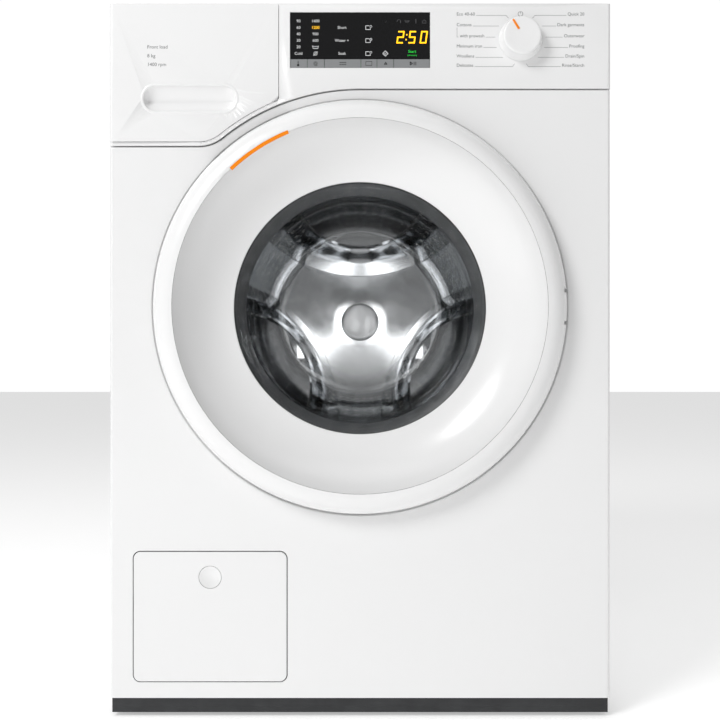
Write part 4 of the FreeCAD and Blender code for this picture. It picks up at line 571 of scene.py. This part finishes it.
# ------------------------------------------------------------------ door
class WASHER_OT_door(bpy.types.Operator):
    """Makes the door's rings, its glass bowl and the marker"""
    bl_idname = "washer.door"
    bl_label = "Door"

    def execute(self, context):
        refined("door_outer_ring", "door", "white_abs", "door_outer_ring_moulding", 40.0)
        refined("door_inner_frame", "door", "dark_pp", "door_inner_frame_moulding", 40.0)
        refined("door_marker", "door", "orange_marker", "door_marker_inlay")
        self.dish()
        self.glass()
        return {"FINISHED"}

    def dish(self):
        """Dished ring between the crest and the glass."""
        inner = 153.0
        depth = DISH_U - 3.0
        face = bow((CREST_R, CREST_U), (191.0, 1.9), (inner, depth), 24)
        face += [(inner - 0.6, depth + 0.8), (inner - 0.6, depth + 2.2)]
        back = bow((inner, DISH_U), (191.5, 5.4), (CREST_R, CREST_U + 4), 16)
        piece(turned(face + back, steps=192), "door_dish_moulding", "door", "white_abs",
              "door_dish_ring")

    def glass(self):
        """Pressed bowl: flange, tapering side, round corner and a crowned end."""
        wall = 4.5
        front, end = GLASS_U
        side = [(GLASS_R, front), (GLASS_R, front + wall), (149.0, front + wall), (140.0, 50.0)]
        corner = bow((114.0, 130.0), (108.5, 140.0), (97.0, 145.4), 8)
        crown = bow((97.0, 145.4), (48.0, end - 1.8), (0.0, end), 12)
        outline = side + corner + crown[1:]
        inside = bow((0.0, end - wall), (46.0, end - wall - 1.6), (95.0, 140.8), 12)
        inside += bow((95.0, 140.8), (104.4, 136.4), (109.4, 128.0), 8)[1:]
        inside += [(135.5, 50.0), (144.5, front)]
        piece(turned(outline + inside, steps=128), "door_glass_bowl", "door",
              "door_glass_clear", "door_glass", crease=60.0)


class WASHER_OT_gasket(bpy.types.Operator):
    """Makes the rubber bellows between the porthole and the tub"""
    bl_idname = "washer.gasket"
    bl_label = "Gasket"

    def execute(self, context):
        front, back = GASKET_U
        line = [(178.5, front + 1.5), (172.0, front + 1.5)]
        line += bow((170.5, front + 4), (166.0, 44.0), (158.0, 47.0), 5)
        line += [(144.0, 54.0), (143.6, 55.6), (145.0, 57.0)]
        line += bow((158.0, 50.5), (169.0, 46.5), (174.0, 50.0), 5)
        line += bow((178.5, 52.0), (181.5, 56.0), (178.0, 60.0), 6)
        line += bow((174.5, 60.0), (171.6, 63.0), (171.6, back), 3)
        made = piece(turned(walled(line, 2.0), steps=128), "gasket_bellows", None,
                     "gasket_rubber", "door_gasket", crease=50.0)
        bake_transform(made)
        return {"FINISHED"}


# ------------------------------------------------------------------ drum
# Direction of each paddle, in degrees from +X towards +Z
PADDLE_ANGLES = (90.0, 210.0, 330.0)
# Inner face of the drum's wall
DRUM_INNER_R = DRUM_R - 1.8


class WASHER_OT_drum(bpy.types.Operator):
    """Makes the perforated basket, its back, the paddles and the hub cap"""
    bl_idname = "washer.drum"
    bl_label = "Drum"

    def execute(self, context):
        self.basket(context.scene.washer_drum)
        self.back()
        self.paddles()
        self.cap(context.scene.washer_drum)
        return {"FINISHED"}

    def basket(self, sizes):
        """Sheet wall with rows of holes, closed in front by a cone with a rolled mouth."""
        sheet = 1.2
        radius = DRUM_R - sheet
        start, end = 108.0, DRUM_U[HIGH]
        pitch = sizes.pitch / MM
        rows = round((end - start) / pitch)
        around = round(math.tau * radius / pitch)
        line = [(radius, start + (end - start) * k / rows) for k in range(rows + 1)]
        bm = turned(line, steps=around, closed=False)
        holes = bm.faces[:]
        for face in holes:
            face.material_index = 1
        margin = (sizes.pitch - sizes.hole) / 2
        rim = bmesh.ops.inset_individual(bm, faces=holes, thickness=margin, depth=0.0)["faces"]
        for face in rim:
            face.material_index = 0
        corners = list({vert for face in holes for vert in face.verts})
        bmesh.ops.bevel(bm, geom=corners, offset=sizes.hole * 0.29, offset_type="OFFSET",
                        segments=1, profile=0.5, affect="VERTICES", material=0)
        bmesh.ops.delete(bm, geom=[f for f in bm.faces if f.material_index], context="FACES")
        cone = [(radius, start), (radius, 104.0)] + bow((radius - 3, 100.5), (200.0, 96.5),
                                                         (164.0, 93.5), 6)
        cone += bow((162.0, 93.4), (158.4, 95.0), (157.6, 100.0), 5) + [(157.6, 103.5)]
        shell = turned(cone, steps=around, closed=False)
        mouth = bpy.data.meshes.new("mouth")
        shell.to_mesh(mouth)
        shell.free()
        bm.from_mesh(mouth)
        bpy.data.meshes.remove(mouth)
        bmesh.ops.remove_doubles(bm, verts=bm.verts[:], dist=0.05 * MM)
        bmesh.ops.recalc_face_normals(bm, faces=bm.faces[:])
        made = piece(bm, "drum_basket", "drum", "drum_steel", "drum_shell", crease=50.0)
        wall = made.modifiers.new("sheet", "SOLIDIFY")
        wall.thickness = sheet * 0.9 * MM
        wall.offset = -1.0

    def back(self):
        """Dished and spun back: flat rim, a round step, and a cone up to the hub."""
        rim, dish = BACK_U[HIGH] - 0.6, BACK_U[LOW] + 0.3
        line = [(DRUM_INNER_R, rim - 0.5)]
        line += bow((158.0, rim - 0.5), (149.0, rim - 2.4), (141.0, dish + 2.0), 8)
        line += bow((141.0, dish + 2.0), (90.0, dish + 3.2), (36.0, dish + 0.4), 10)[1:]
        line += [(0.0, dish + 0.4)]
        piece(turned(walled(line, 0.5), steps=192), "drum_back_pressing", "drum", "drum_steel",
              "drum_back", material="drum_back", crease=50.0)

    def lens(self, bm, half_width, inner, u, outer, count=28):
        """Loop of a paddle's section: an arc nearest the axis, closed along the drum's wall."""
        rise = math.sqrt(outer ** 2 - half_width ** 2) - inner
        near = bow((-half_width, inner + rise), (0.0, inner), (half_width, inner + rise), count)
        far = bow((half_width, inner + rise), (0.0, outer), (-half_width, inner + rise), count)
        return loop_of(bm, [at(x, u, DOOR_Z + r) for x, r in near + far[1:-1]])

    def paddles(self):
        """Three hollow lifters, each a lens in front that swells in steps to the back."""
        front, back = PADDLE_U
        sections = [(96.0, 96.0, front + 1.0), (102.0, 93.0, front + 4.5),
                    (110.0, 91.5, front + 14.0), (134.0, 90.5, front + 60.0),
                    (140.0, 87.0, front + 68.0), (160.0, 81.5, front + 150.0),
                    (176.0, 76.5, back)]
        for index, angle in enumerate(PADDLE_ANGLES):
            bm = bmesh.new()
            loops = [self.lens(bm, half, inner, u, DRUM_INNER_R) for half, inner, u in sections]
            skin(bm, loops)
            bmesh.ops.rotate(bm, verts=bm.verts[:], cent=at(0, 0, DOOR_Z),
                             matrix=Matrix.Rotation(math.radians(90.0 - angle), 3, "Y"))
            nodes = ("drum_paddles",) if index == 0 else ()
            piece(bm, "drum_paddle_%d" % (index + 1), "drum", "paddle_steel", *nodes,
                  crease=24.0)

    def cap(self, sizes):
        """Satin hub cap with a plain raised hexagon."""
        u = spread("drum_hub_cap", 1)
        reach = spread("drum_hub_cap", 0)[HIGH]
        line = bow((0.0, u[LOW] + 0.6), (reach * 0.5, u[LOW] + 1.0), (reach - 4, u[LOW] + 2.4))
        line += bow((reach - 3, u[LOW] + 2.7), (reach - 0.8, u[LOW] + 4.2),
                    (reach, u[HIGH] - 1), 5) + [(reach, u[HIGH]), (0.0, u[HIGH])]
        bm = turned(line, steps=72)
        side = sizes.cap / MM
        stroke(bm, [(side * math.cos(math.radians(30 + 60 * k)),
                     DOOR_Z + side * math.sin(math.radians(30 + 60 * k))) for k in range(6)],
               1.2, u[LOW] + 1.6, 1.5, closed=True)
        piece(bm, "drum_hub_cap_turned", "drum", "drum_steel", "drum_hub_cap",
              material="cap_steel")


# ------------------------------------------------------------------ fascia
SEGMENTS = {0: "abcdef", 1: "bc", 2: "abdeg", 3: "abcdg", 4: "bcfg", 5: "acdfg", 6: "acdefg",
            7: "abc", 8: "abcdefg", 9: "abcdfg"}


class WASHER_OT_fascia(bpy.types.Operator):
    """Makes the figures behind the display and the marks on its keys"""
    bl_idname = "washer.fascia"
    bl_label = "Display and keys"

    ROW_TOP = 10.3
    ROW_PITCH = 7.7
    COLUMNS = (9.9, 30.1, 61.6, 93.2, 113.2)
    CAPITAL = 3.3

    def execute(self, context):
        self.left, self.top = DISPLAY[0][LOW], DISPLAY[1][HIGH]
        self.columns_of_words()
        self.status_marks()
        self.clock(context.scene.washer_fascia)
        self.key_marks()
        return {"FINISHED"}

    def row(self, number):
        return self.top - self.ROW_TOP - self.ROW_PITCH * (number - 1)

    def mark(self, bm, name, slot, material):
        piece(bm, name, "cabinet", slot, material=material)

    def columns_of_words(self):
        """Temperatures, spin speeds and options, one speed lit."""
        pale, lit = bmesh.new(), bmesh.new()
        x = [self.left + column for column in self.COLUMNS]
        for number, words in enumerate(("90", "60", "40", "30", "20", "Cold"), 1):
            lettering(pale, words, self.CAPITAL, x[0], self.row(number), DISPLAY_U, "CENTER")
        for number, words in enumerate(("1400", "1200", "900", "600"), 1):
            lettering(lit if number == 2 else pale, words, self.CAPITAL, x[1],
                      self.row(number), DISPLAY_U, "CENTER")
        for number, words in zip((2, 4, 6), ("Short", "Water +", "Soak")):
            lettering(pale, words, self.CAPITAL, x[2], self.row(number), DISPLAY_U, "CENTER")
        self.basins(pale, x[1])
        for number in (2, 4, 6):
            self.tub_mark(pale, x[3], self.row(number), 0.5 + 0.3 * (number == 4))
        z = self.row(6)
        stroke(pale, [(x[4], z + 3.1), (x[4] + 3.1, z), (x[4], z - 3.1), (x[4] - 3.1, z)], 0.7,
               closed=True)
        stroke(pale, [(x[4] - 1.2, z), (x[4] - 0.2, z - 1.0), (x[4] + 1.4, z + 1.2)], 0.6)
        self.mark(pale, "display_words", "display_black", "ink_pale")
        self.mark(lit, "display_speed_lit", "display_black", "lit_amber")

    def basins(self, bm, x):
        """Rinse hold basin, and a crossed out spiral for no spin."""
        z = self.row(5)
        stroke(bm, [(x - 3.6, z + 1.6), (x - 2.7, z - 1.7), (x + 2.7, z - 1.7),
                    (x + 3.6, z + 1.6)], 0.6)
        stroke(bm, [(x - 2.6, z + 1.0), (x - 1.0, z + 0.3), (x + 0.8, z + 1.0),
                    (x + 2.6, z + 0.3)], 0.5)
        z = self.row(6)
        stroke(bm, ring_points(x, z, 2.0, 16), 0.6, closed=True)
        stroke(bm, [(x - 2.5, z - 2.3), (x + 2.5, z + 2.3)], 0.6)

    def tub_mark(self, bm, x, z, blob):
        """Load symbol: a tub outline with a filled spot at its corner."""
        stroke(bm, [(x + 0.6, z + 2.2), (x - 3.4, z + 2.2), (x - 3.4, z - 2.3), (x + 2.0, z - 2.3),
                    (x + 2.0, z - 0.6)], 0.6)
        stroke(bm, ring_points(x + 2.7, z + 1.4, 1.2, 12), blob, closed=True)

    def status_marks(self):
        """Unlit status symbols: tap, level, filter and lock, and a small spot."""
        dim = bmesh.new()
        z = self.row(1)
        right = DISPLAY[0][HIGH]
        tap, level, blocked, lock = right - 36.5, right - 27.0, right - 16.6, right - 6.8
        for points, width in (
                ([(tap - 2.6, z - 0.6), (tap - 1.6, z + 1.6), (tap + 0.4, z + 1.6)], 0.6),
                ([(tap + 1.6, z + 0.8), (tap + 1.6, z - 2.0)], 0.9),
                (ring_points(level, z + 0.8, 2.6, 10, 180, 180), 0.7),
                ([(level - 1.8, z), (level + 1.8, z)], 1.0),
                ([(blocked, z + 2.4), (blocked, z - 1.0)], 0.9),
                ([(blocked, z - 1.9), (blocked, z - 2.4)], 0.9),
                (ring_points(lock, z + 0.6, 1.5, 8, 0, 180), 0.6)):
            stroke(dim, points, width)
        stroke(dim, [(lock - 2.2, z + 0.4), (lock + 2.2, z + 0.4), (lock + 2.2, z - 2.4),
                     (lock - 2.2, z - 2.4)], 0.6, closed=True)
        spot = self.left + self.COLUMNS[4]
        stroke(dim, ring_points(spot, z, 1.0, 10), 0.9, closed=True)
        self.mark(dim, "display_status_marks", "display_black", "ink_dim")

    def clock(self, shown):
        """Slanted seven segment figures for the time left, and the start light."""
        lit = bmesh.new()
        height, width, thick, slant = 13.2, 6.4, 1.7, 0.14
        z0 = self.row(5) + 5.1
        x0 = DISPLAY[0][HIGH] - 39.0

        def part(x, a, b):
            points = [(x + px * width + pz * height * slant, z0 + pz * height)
                      for px, pz in (a, b)]
            stroke(lit, points, thick)
        ends = {"a": ((0, 1), (1, 1)), "b": ((1, 1), (1, 0.5)), "c": ((1, 0.5), (1, 0)),
                "d": ((0, 0), (1, 0)), "e": ((0, 0), (0, 0.5)), "f": ((0, 0.5), (0, 1)),
                "g": ((0, 0.5), (1, 0.5))}
        figures = (shown.hours, shown.minutes // 10, shown.minutes % 10)
        for x, figure in zip((x0, x0 + 14.0, x0 + 27.6), figures):
            for letter in SEGMENTS[figure]:
                part(x, *ends[letter])
        for share in (0.28, 0.72):
            x, z = x0 + 10.3 + share * height * slant, z0 + share * height
            stroke(lit, [(x, z - 0.4), (x, z + 0.4)], 1.5)
        self.mark(lit, "display_clock", "display_black", "lit_amber")
        green = bmesh.new()
        x = DISPLAY[0][HIGH] - 21.1
        lettering(green, "Start", 3.4, x, self.row(6) + 2.3, DISPLAY_U, "CENTER")
        lettering(green, "add laundry", 1.7, x, self.row(6) - 2.0, DISPLAY_U, "CENTER")
        self.mark(green, "display_start_light", "display_black", "lit_green")

    def key_marks(self):
        """Dark symbols on the touch keys, one for each key."""
        bm = bmesh.new()
        u = spread("touch_keys", 1)[LOW]
        z = sum(KEYS[1]) / 2
        x = [KEYS[0][LOW] + step for step in (9.2, 30.1, 62.3, 93.2, 113.2, 145.6)]
        stroke(bm, [(x[0], z + 2.9), (x[0], z - 0.8)], 0.8, u)
        stroke(bm, ring_points(x[0], z - 2.0, 0.8, 10), 1.1, u, closed=True)
        spiral = [(x[1] + (0.6 + 0.24 * k / 2) * math.cos(0.62 * k),
                   z + (0.6 + 0.24 * k / 2) * math.sin(0.62 * k)) for k in range(20)]
        stroke(bm, spiral, 0.4, u)
        for row in range(2):
            for side in range(3):
                spot = x[2] - 2.8 + 2.8 * side
                stroke(bm, [(spot - 0.8, z + 1.2 - 2.4 * row), (spot + 0.8, z + 1.2 - 2.4 * row)],
                       0.9, u)
        stroke(bm, [(x[3] - 3.6, z + 2.3), (x[3] - 3.6, z - 2.3), (x[3] + 3.6, z - 2.3),
                    (x[3] + 3.6, z + 2.3)], 0.5, u, closed=True)
        stroke(bm, [(x[4] - 1.5, z - 0.9), (x[4], z + 1.2), (x[4] + 1.5, z - 0.9)], 0.9, u,
               closed=True)
        stroke(bm, [(x[5] - 3.2, z + 1.7), (x[5] - 0.6, z), (x[5] - 3.2, z - 1.7)], 1.0, u,
               closed=True)
        for step in (1.4, 3.4):
            stroke(bm, [(x[5] + step, z + 1.8), (x[5] + step, z - 1.8)], 0.8, u)
        piece(bm, "key_marks", "cabinet", "key_grey", material="ink_black")


class WASHER_OT_selector(bpy.types.Operator):
    """Makes the programme knob with its line, and the legends round it"""
    bl_idname = "washer.selector"
    bl_label = "Selector"

    ROWS = (29.7, 17.0, 3.8, -8.4, -20.2, -31.2)
    LEFT = ("Eco 40-60", "Cottons", "with prewash", "Minimum iron", "Woollens", "Delicates")
    RIGHT = ("Quick 20", "Dark garments", "Outerwear", "Proofing", "Drain/Spin", "Rinse/Starch")
    CAPITAL = 3.7
    MARGIN = 76.0
    REACH = 30.0

    def execute(self, context):
        self.knob(context.scene.washer_fascia.selector)
        self.legends()
        return {"FINISHED"}

    def knob(self, angle):
        """Skirted knob with a rounded face and an inlaid line."""
        face, back = KNOB_U
        top = KNOB_R - 3.6
        line = bow((0.0, face + 0.7), (top * 0.55, face + 0.5), (top - 3.0, face + 0.1), 6)
        line += bow((top - 2.2, face + 0.1), (top - 0.6, face + 0.8), (top, face + 2.4), 6)
        line += bow((top + 0.2, face + 4.0), (top + 1.2, (face + back) / 2),
                    (KNOB_R - 0.3, back - 1.6), 8)
        line += [(KNOB_R, back - 1.2), (KNOB_R, back), (0.0, back)]
        piece(turned(line, KNOB_X, KNOB_Z, 96), "selector_knob_moulding", "selector",
              "white_abs", "selector_knob", crease=50.0)
        bm = bmesh.new()
        way = Vector((-math.sin(angle), math.cos(angle)))
        ends = [Vector((KNOB_X, KNOB_Z)) + way * reach for reach in (8.8, 20.6)]
        stroke(bm, [tuple(end) for end in ends], 2.7, face + 0.9, 0.95)
        eased(bm, 0.3, 2)
        piece(bm, "selector_line", "selector", "orange_marker", material="ink_orange")

    def legends(self):
        """Programme names with thin leaders to the knob."""
        bm = bmesh.new()
        for side, words in ((-1, self.LEFT), (1, self.RIGHT)):
            for number, (text, drop) in enumerate(zip(words, self.ROWS)):
                z = KNOB_Z + drop
                x = KNOB_X + side * self.MARGIN + 4.0 * (side < 0 and number == 2)
                count = len(bm.verts)
                lettering(bm, text, self.CAPITAL, x, z, FASCIA_U,
                          "LEFT" if side < 0 else "RIGHT")
                bm.verts.ensure_lookup_table()
                reach = [v.co.x / MM for v in bm.verts[count:]]
                start = (max(reach) + 1.8) if side < 0 else (min(reach) - 1.8)
                self.leader(bm, start, side, drop)
        x = KNOB_X - self.MARGIN + 0.6
        stroke(bm, [(x, KNOB_Z + self.ROWS[1] - 3.2), (x, KNOB_Z + self.ROWS[2] - 1.2),
                    (x + 1.8, KNOB_Z + self.ROWS[2] - 1.2)], 0.35, FASCIA_U, 0.06)
        top = KNOB_Z + 30.1
        stroke(bm, ring_points(KNOB_X, top, 2.8, 22, 112, 316), 0.5, FASCIA_U, 0.06)
        stroke(bm, [(KNOB_X, top + 3.1), (KNOB_X, top + 0.6)], 0.5, FASCIA_U, 0.06)
        piece(bm, "programme_legends", "cabinet", "key_grey", material="ink_grey")

    def leader(self, bm, start, side, drop):
        """Line from a name to the ring round the knob; the outer rows end in a slant."""
        z = KNOB_Z + drop - 1.4
        gap = drop - 1.4
        if abs(gap) < self.REACH * 0.85:
            points = [(start, z), (KNOB_X + side * math.sqrt(self.REACH ** 2 - gap ** 2), z)]
        else:
            bend, tip = (17.2, 14.4) if drop > 0 else (9.4, 7.2)
            points = [(start, z), (KNOB_X + side * bend, z),
                      (KNOB_X + side * tip, z - math.copysign(3.2, drop))]
        if side * (points[0][0] - points[1][0]) > 1.0:
            stroke(bm, points, 0.35, FASCIA_U, 0.06)


# ------------------------------------------------------------------ drawer and flap
class WASHER_OT_drawer(bpy.types.Operator):
    """Makes the drawer's front, its grip and its printed words"""
    bl_idname = "washer.drawer"
    bl_label = "Drawer"

    GRIP_X = -202.5
    GRIP_Z = 737.2
    GRIP_HALF = 39.8
    GRIP_R = 17.1
    BEAD = 1.75

    def execute(self, context):
        refined("drawer_front", "drawer", "white_abs", "drawer_front_moulding")
        refined("drawer_tray", "drawer", "pale_pp", "drawer_tray_moulding")
        self.rim()
        self.liner()
        bm = bmesh.new()
        x = DRAWER[0][LOW] + 45.0
        for words, drop in (("Front load", 51.8), ("8 kg", 62.3), ("1400 rpm", 72.6)):
            lettering(bm, words, 4.0, x, DRAWER[1][HIGH] - drop, FASCIA_U)
        piece(bm, "drawer_words", "drawer", "key_grey", material="ink_grey")
        return {"FINISHED"}

    def outline(self, radius):
        """Long round outline of the grip, as (x, z) from its middle."""
        return [(side * self.GRIP_HALF + radius * math.cos(turn), radius * math.sin(turn))
                for side, first in ((1, -90), (-1, 90))
                for turn in (math.radians(first + 180 * k / 24) for k in range(25))]

    def liner(self):
        """Hollow of the grip: two slopes that meet in a crease a little under its middle."""
        bm = bmesh.new()
        loops = []
        for depth, flat, drop in ((9.8, 0.05, -2.0), (9.3, 0.2, -1.8), (6.5, 0.55, -1.0),
                                  (2.0, 0.96, 0.0), (0.5, 1.0, 0.0), (0.5, 1.02, 0.0),
                                  (11.5, 1.02, 0.0)):
            loops.append(loop_of(bm, [
                at(self.GRIP_X + x * (0.9 + 0.1 * flat), FASCIA_U + depth,
                   self.GRIP_Z + z * flat + drop)
                for x, z in self.outline(self.GRIP_R - self.BEAD)]))
        skin(bm, loops)
        piece(bm, "drawer_grip_hollow", "drawer", "white_abs", crease=35.0)

    def rim(self):
        """Rounded bead round the grip, swept along its long round outline."""
        outline = [(self.GRIP_X + x, self.GRIP_Z + z) for x, z in self.outline(self.GRIP_R)]
        bm = bmesh.new()
        loops = []
        for angle in range(0, 360, 45):
            out = self.BEAD * math.cos(math.radians(angle))
            u = FASCIA_U + 0.2 + 0.55 * math.sin(math.radians(angle))
            places = []
            for x, z in outline:
                side = math.copysign(self.GRIP_HALF, x - self.GRIP_X)
                way = Vector((x - self.GRIP_X - side, z - self.GRIP_Z)).normalized()
                places.append(at(x + way.x * out, u, z + way.y * out))
            loops.append(loop_of(bm, places))
        skin(bm, loops, ring=True)
        piece(bm, "drawer_grip_bead", "drawer", "white_abs", crease=70.0)


class WASHER_OT_flap(bpy.types.Operator):
    """Makes the service flap and its dished button"""
    bl_idname = "washer.flap"
    bl_label = "Service flap"

    def execute(self, context):
        refined("service_flap", "flap", "white_abs", "service_flap_moulding")
        refined("pump_filter_cap", "filter_cap", "dark_pp", "pump_filter_cap_moulding")
        low, high = spread("flap_button", 1)
        x = sum(spread("flap_button", 0)) / 2
        z = sum(spread("flap_button", 2)) / 2
        reach = spread("flap_button", 0)[HIGH] - x
        line = bow((0.0, low + 2.6), (reach * 0.6, low + 1.6), (reach - 1.2, low + 0.1), 10)
        line += [(reach - 0.5, low), (reach, low + 0.5), (reach, high), (0.0, high)]
        piece(turned(line, x, z, 72), "flap_button_dished", "button", "white_abs",
              "flap_button", crease=50.0)
        return {"FINISHED"}


# ------------------------------------------------------------------ stage
class WASHER_OT_stage(bpy.types.Operator):
    """Makes the floor, the light and the camera"""
    bl_idname = "washer.stage"
    bl_label = "Stage"

    FLOOR_HALF = 12.0
    KEY_PLACE = (-1.9, -2.3, 2.4)
    TOP_PLACE = (0.0, -0.4, 3.2)
    TOP_SHARE = 0.25
    STRIP_X = 60.0
    STRIP_SIZE = (0.06, 0.12)

    def execute(self, context):
        sizes = context.scene.washer_stage
        context.scene.view_settings.view_transform = "Standard"
        self.floor(sizes)
        self.world(context.scene, sizes)
        self.light("key", self.KEY_PLACE, 1.3, sizes.key)
        self.light("top", self.TOP_PLACE, 2.6, sizes.key * self.TOP_SHARE)
        for side in (-1, 1):
            self.strip("drum_strip", side * self.STRIP_X, sizes.drum_light)
        self.camera(context.scene, sizes)
        return {"FINISHED"}

    def floor(self, sizes):
        bm = bmesh.new()
        bmesh.ops.create_grid(bm, x_segments=2, y_segments=2, size=self.FLOOR_HALF)
        mesh = bpy.data.meshes.new("floor")
        bm.to_mesh(mesh)
        bm.free()
        material, tree, shader, place = finish("floor_matt_white", sizes.floor, 0.9,
                                               Emission_Color=(1.0, 1.0, 1.0, 1.0),
                                               Emission_Strength=0.42)
        vary_gloss(tree, shader, grain(tree, place, 80), 0.85, 0.95)
        mesh.materials.append(material)
        floor = bpy.data.objects.new("floor", mesh)
        bpy.context.scene.collection.objects.link(floor)

    def world(self, scene, sizes):
        """White all round, darker straight ahead of the door, and white behind the object."""
        world = bpy.data.worlds.new("studio")
        scene.world = world
        world.use_nodes = True
        tree = world.node_tree
        background = tree.nodes["Background"]
        way = add(tree, "ShaderNodeTexCoord").outputs["Generated"]
        ahead = add(tree, "ShaderNodeVectorMath", {0: way, 1: (0.0, -1.0, 0.12)},
                    operation="DOT_PRODUCT")
        shade = add(tree, "ShaderNodeMapRange", {
            "Value": ahead.outputs["Value"], "From Min": 0.86, "From Max": 0.99,
            "To Min": sizes.ambient, "To Max": sizes.ambient * 0.6})
        seen = add(tree, "ShaderNodeLightPath").outputs["Is Camera Ray"]
        level = add(tree, "ShaderNodeMix", {"Factor": seen, "A": shade.outputs["Result"],
                                            "B": 1.02}, data_type="FLOAT")
        background.inputs["Color"].default_value = (1.0, 1.0, 1.0, 1.0)
        tree.links.new(level.outputs["Result"], background.inputs["Strength"])

    def light(self, name, place, size, power):
        data = bpy.data.lights.new(name, "AREA")
        data.shape = "DISK"
        data.size = size
        data.energy = power
        lamp = bpy.data.objects.new(name, data)
        lamp.location = place
        aim = Vector((0.0, FRONT_Y, DOOR_Z * MM)) - lamp.location
        lamp.rotation_euler = aim.to_track_quat("-Z", "Y").to_euler()
        bpy.context.scene.collection.objects.link(lamp)

    def strip(self, name, x, power):
        """Unseen upright strip behind the glass, shining into the drum."""
        data = bpy.data.lights.new(name, "AREA")
        data.shape = "RECTANGLE"
        data.size, data.size_y = self.STRIP_SIZE
        data.energy = power
        lamp = bpy.data.objects.new(name, data)
        lamp.location = at(x, GLASS_U[HIGH] + 10, DOOR_Z)
        lamp.rotation_euler = (math.pi / 2, 0.0, 0.0)
        lamp.visible_camera = False
        lamp.visible_transmission = False
        bpy.context.scene.collection.objects.link(lamp)

    def camera(self, scene, sizes):
        data = bpy.data.cameras.new("camera")
        data.lens = sizes.lens
        data.sensor_width = 36.0
        camera = bpy.data.objects.new("camera", data)
        camera.location = (0.0, FRONT_Y - sizes.distance, sizes.height)
        camera.rotation_euler = (math.pi / 2, 0.0, 0.0)
        scene.collection.objects.link(camera)
        scene.camera = camera


# ------------------------------------------------------------------ panel and run
class WASHER_PT_sidebar(bpy.types.Panel):
    """Lists the washer's settings and pieces"""
    bl_idname = "WASHER_PT_sidebar"
    bl_label = "Front Loading Washer"
    bl_space_type = "VIEW_3D"
    bl_region_type = "UI"
    bl_category = "Washer"

    def draw(self, context):
        for name in SETTINGS:
            group = getattr(context.scene, name)
            for key in group.bl_rna.properties.keys():
                if key not in ("rna_type", "name"):
                    self.layout.prop(group, key)
        for operator in OPERATORS:
            self.layout.operator(operator.bl_idname)


SETTINGS = {"washer_finish": FinishSettings, "washer_drum": DrumSettings,
            "washer_fascia": FasciaSettings, "washer_stage": StageSettings}
OPERATORS = (WASHER_OT_finishes, WASHER_OT_cabinet, WASHER_OT_door, WASHER_OT_gasket,
             WASHER_OT_drum, WASHER_OT_fascia, WASHER_OT_selector, WASHER_OT_drawer,
             WASHER_OT_flap, WASHER_OT_stage)


def register():
    for kind in tuple(SETTINGS.values()) + OPERATORS + (WASHER_PT_sidebar,):
        bpy.utils.register_class(kind)
    for name, kind in SETTINGS.items():
        setattr(bpy.types.Scene, name, bpy.props.PointerProperty(type=kind))


def unregister():
    for name in SETTINGS:
        delattr(bpy.types.Scene, name)
    for kind in (WASHER_PT_sidebar,) + OPERATORS[::-1] + tuple(SETTINGS.values()):
        bpy.utils.unregister_class(kind)


def main():
    register()
    for operator in OPERATORS:
        group, name = operator.bl_idname.split(".")
        getattr(getattr(bpy.ops, group), name)()


if __name__ == "__main__":
    main()
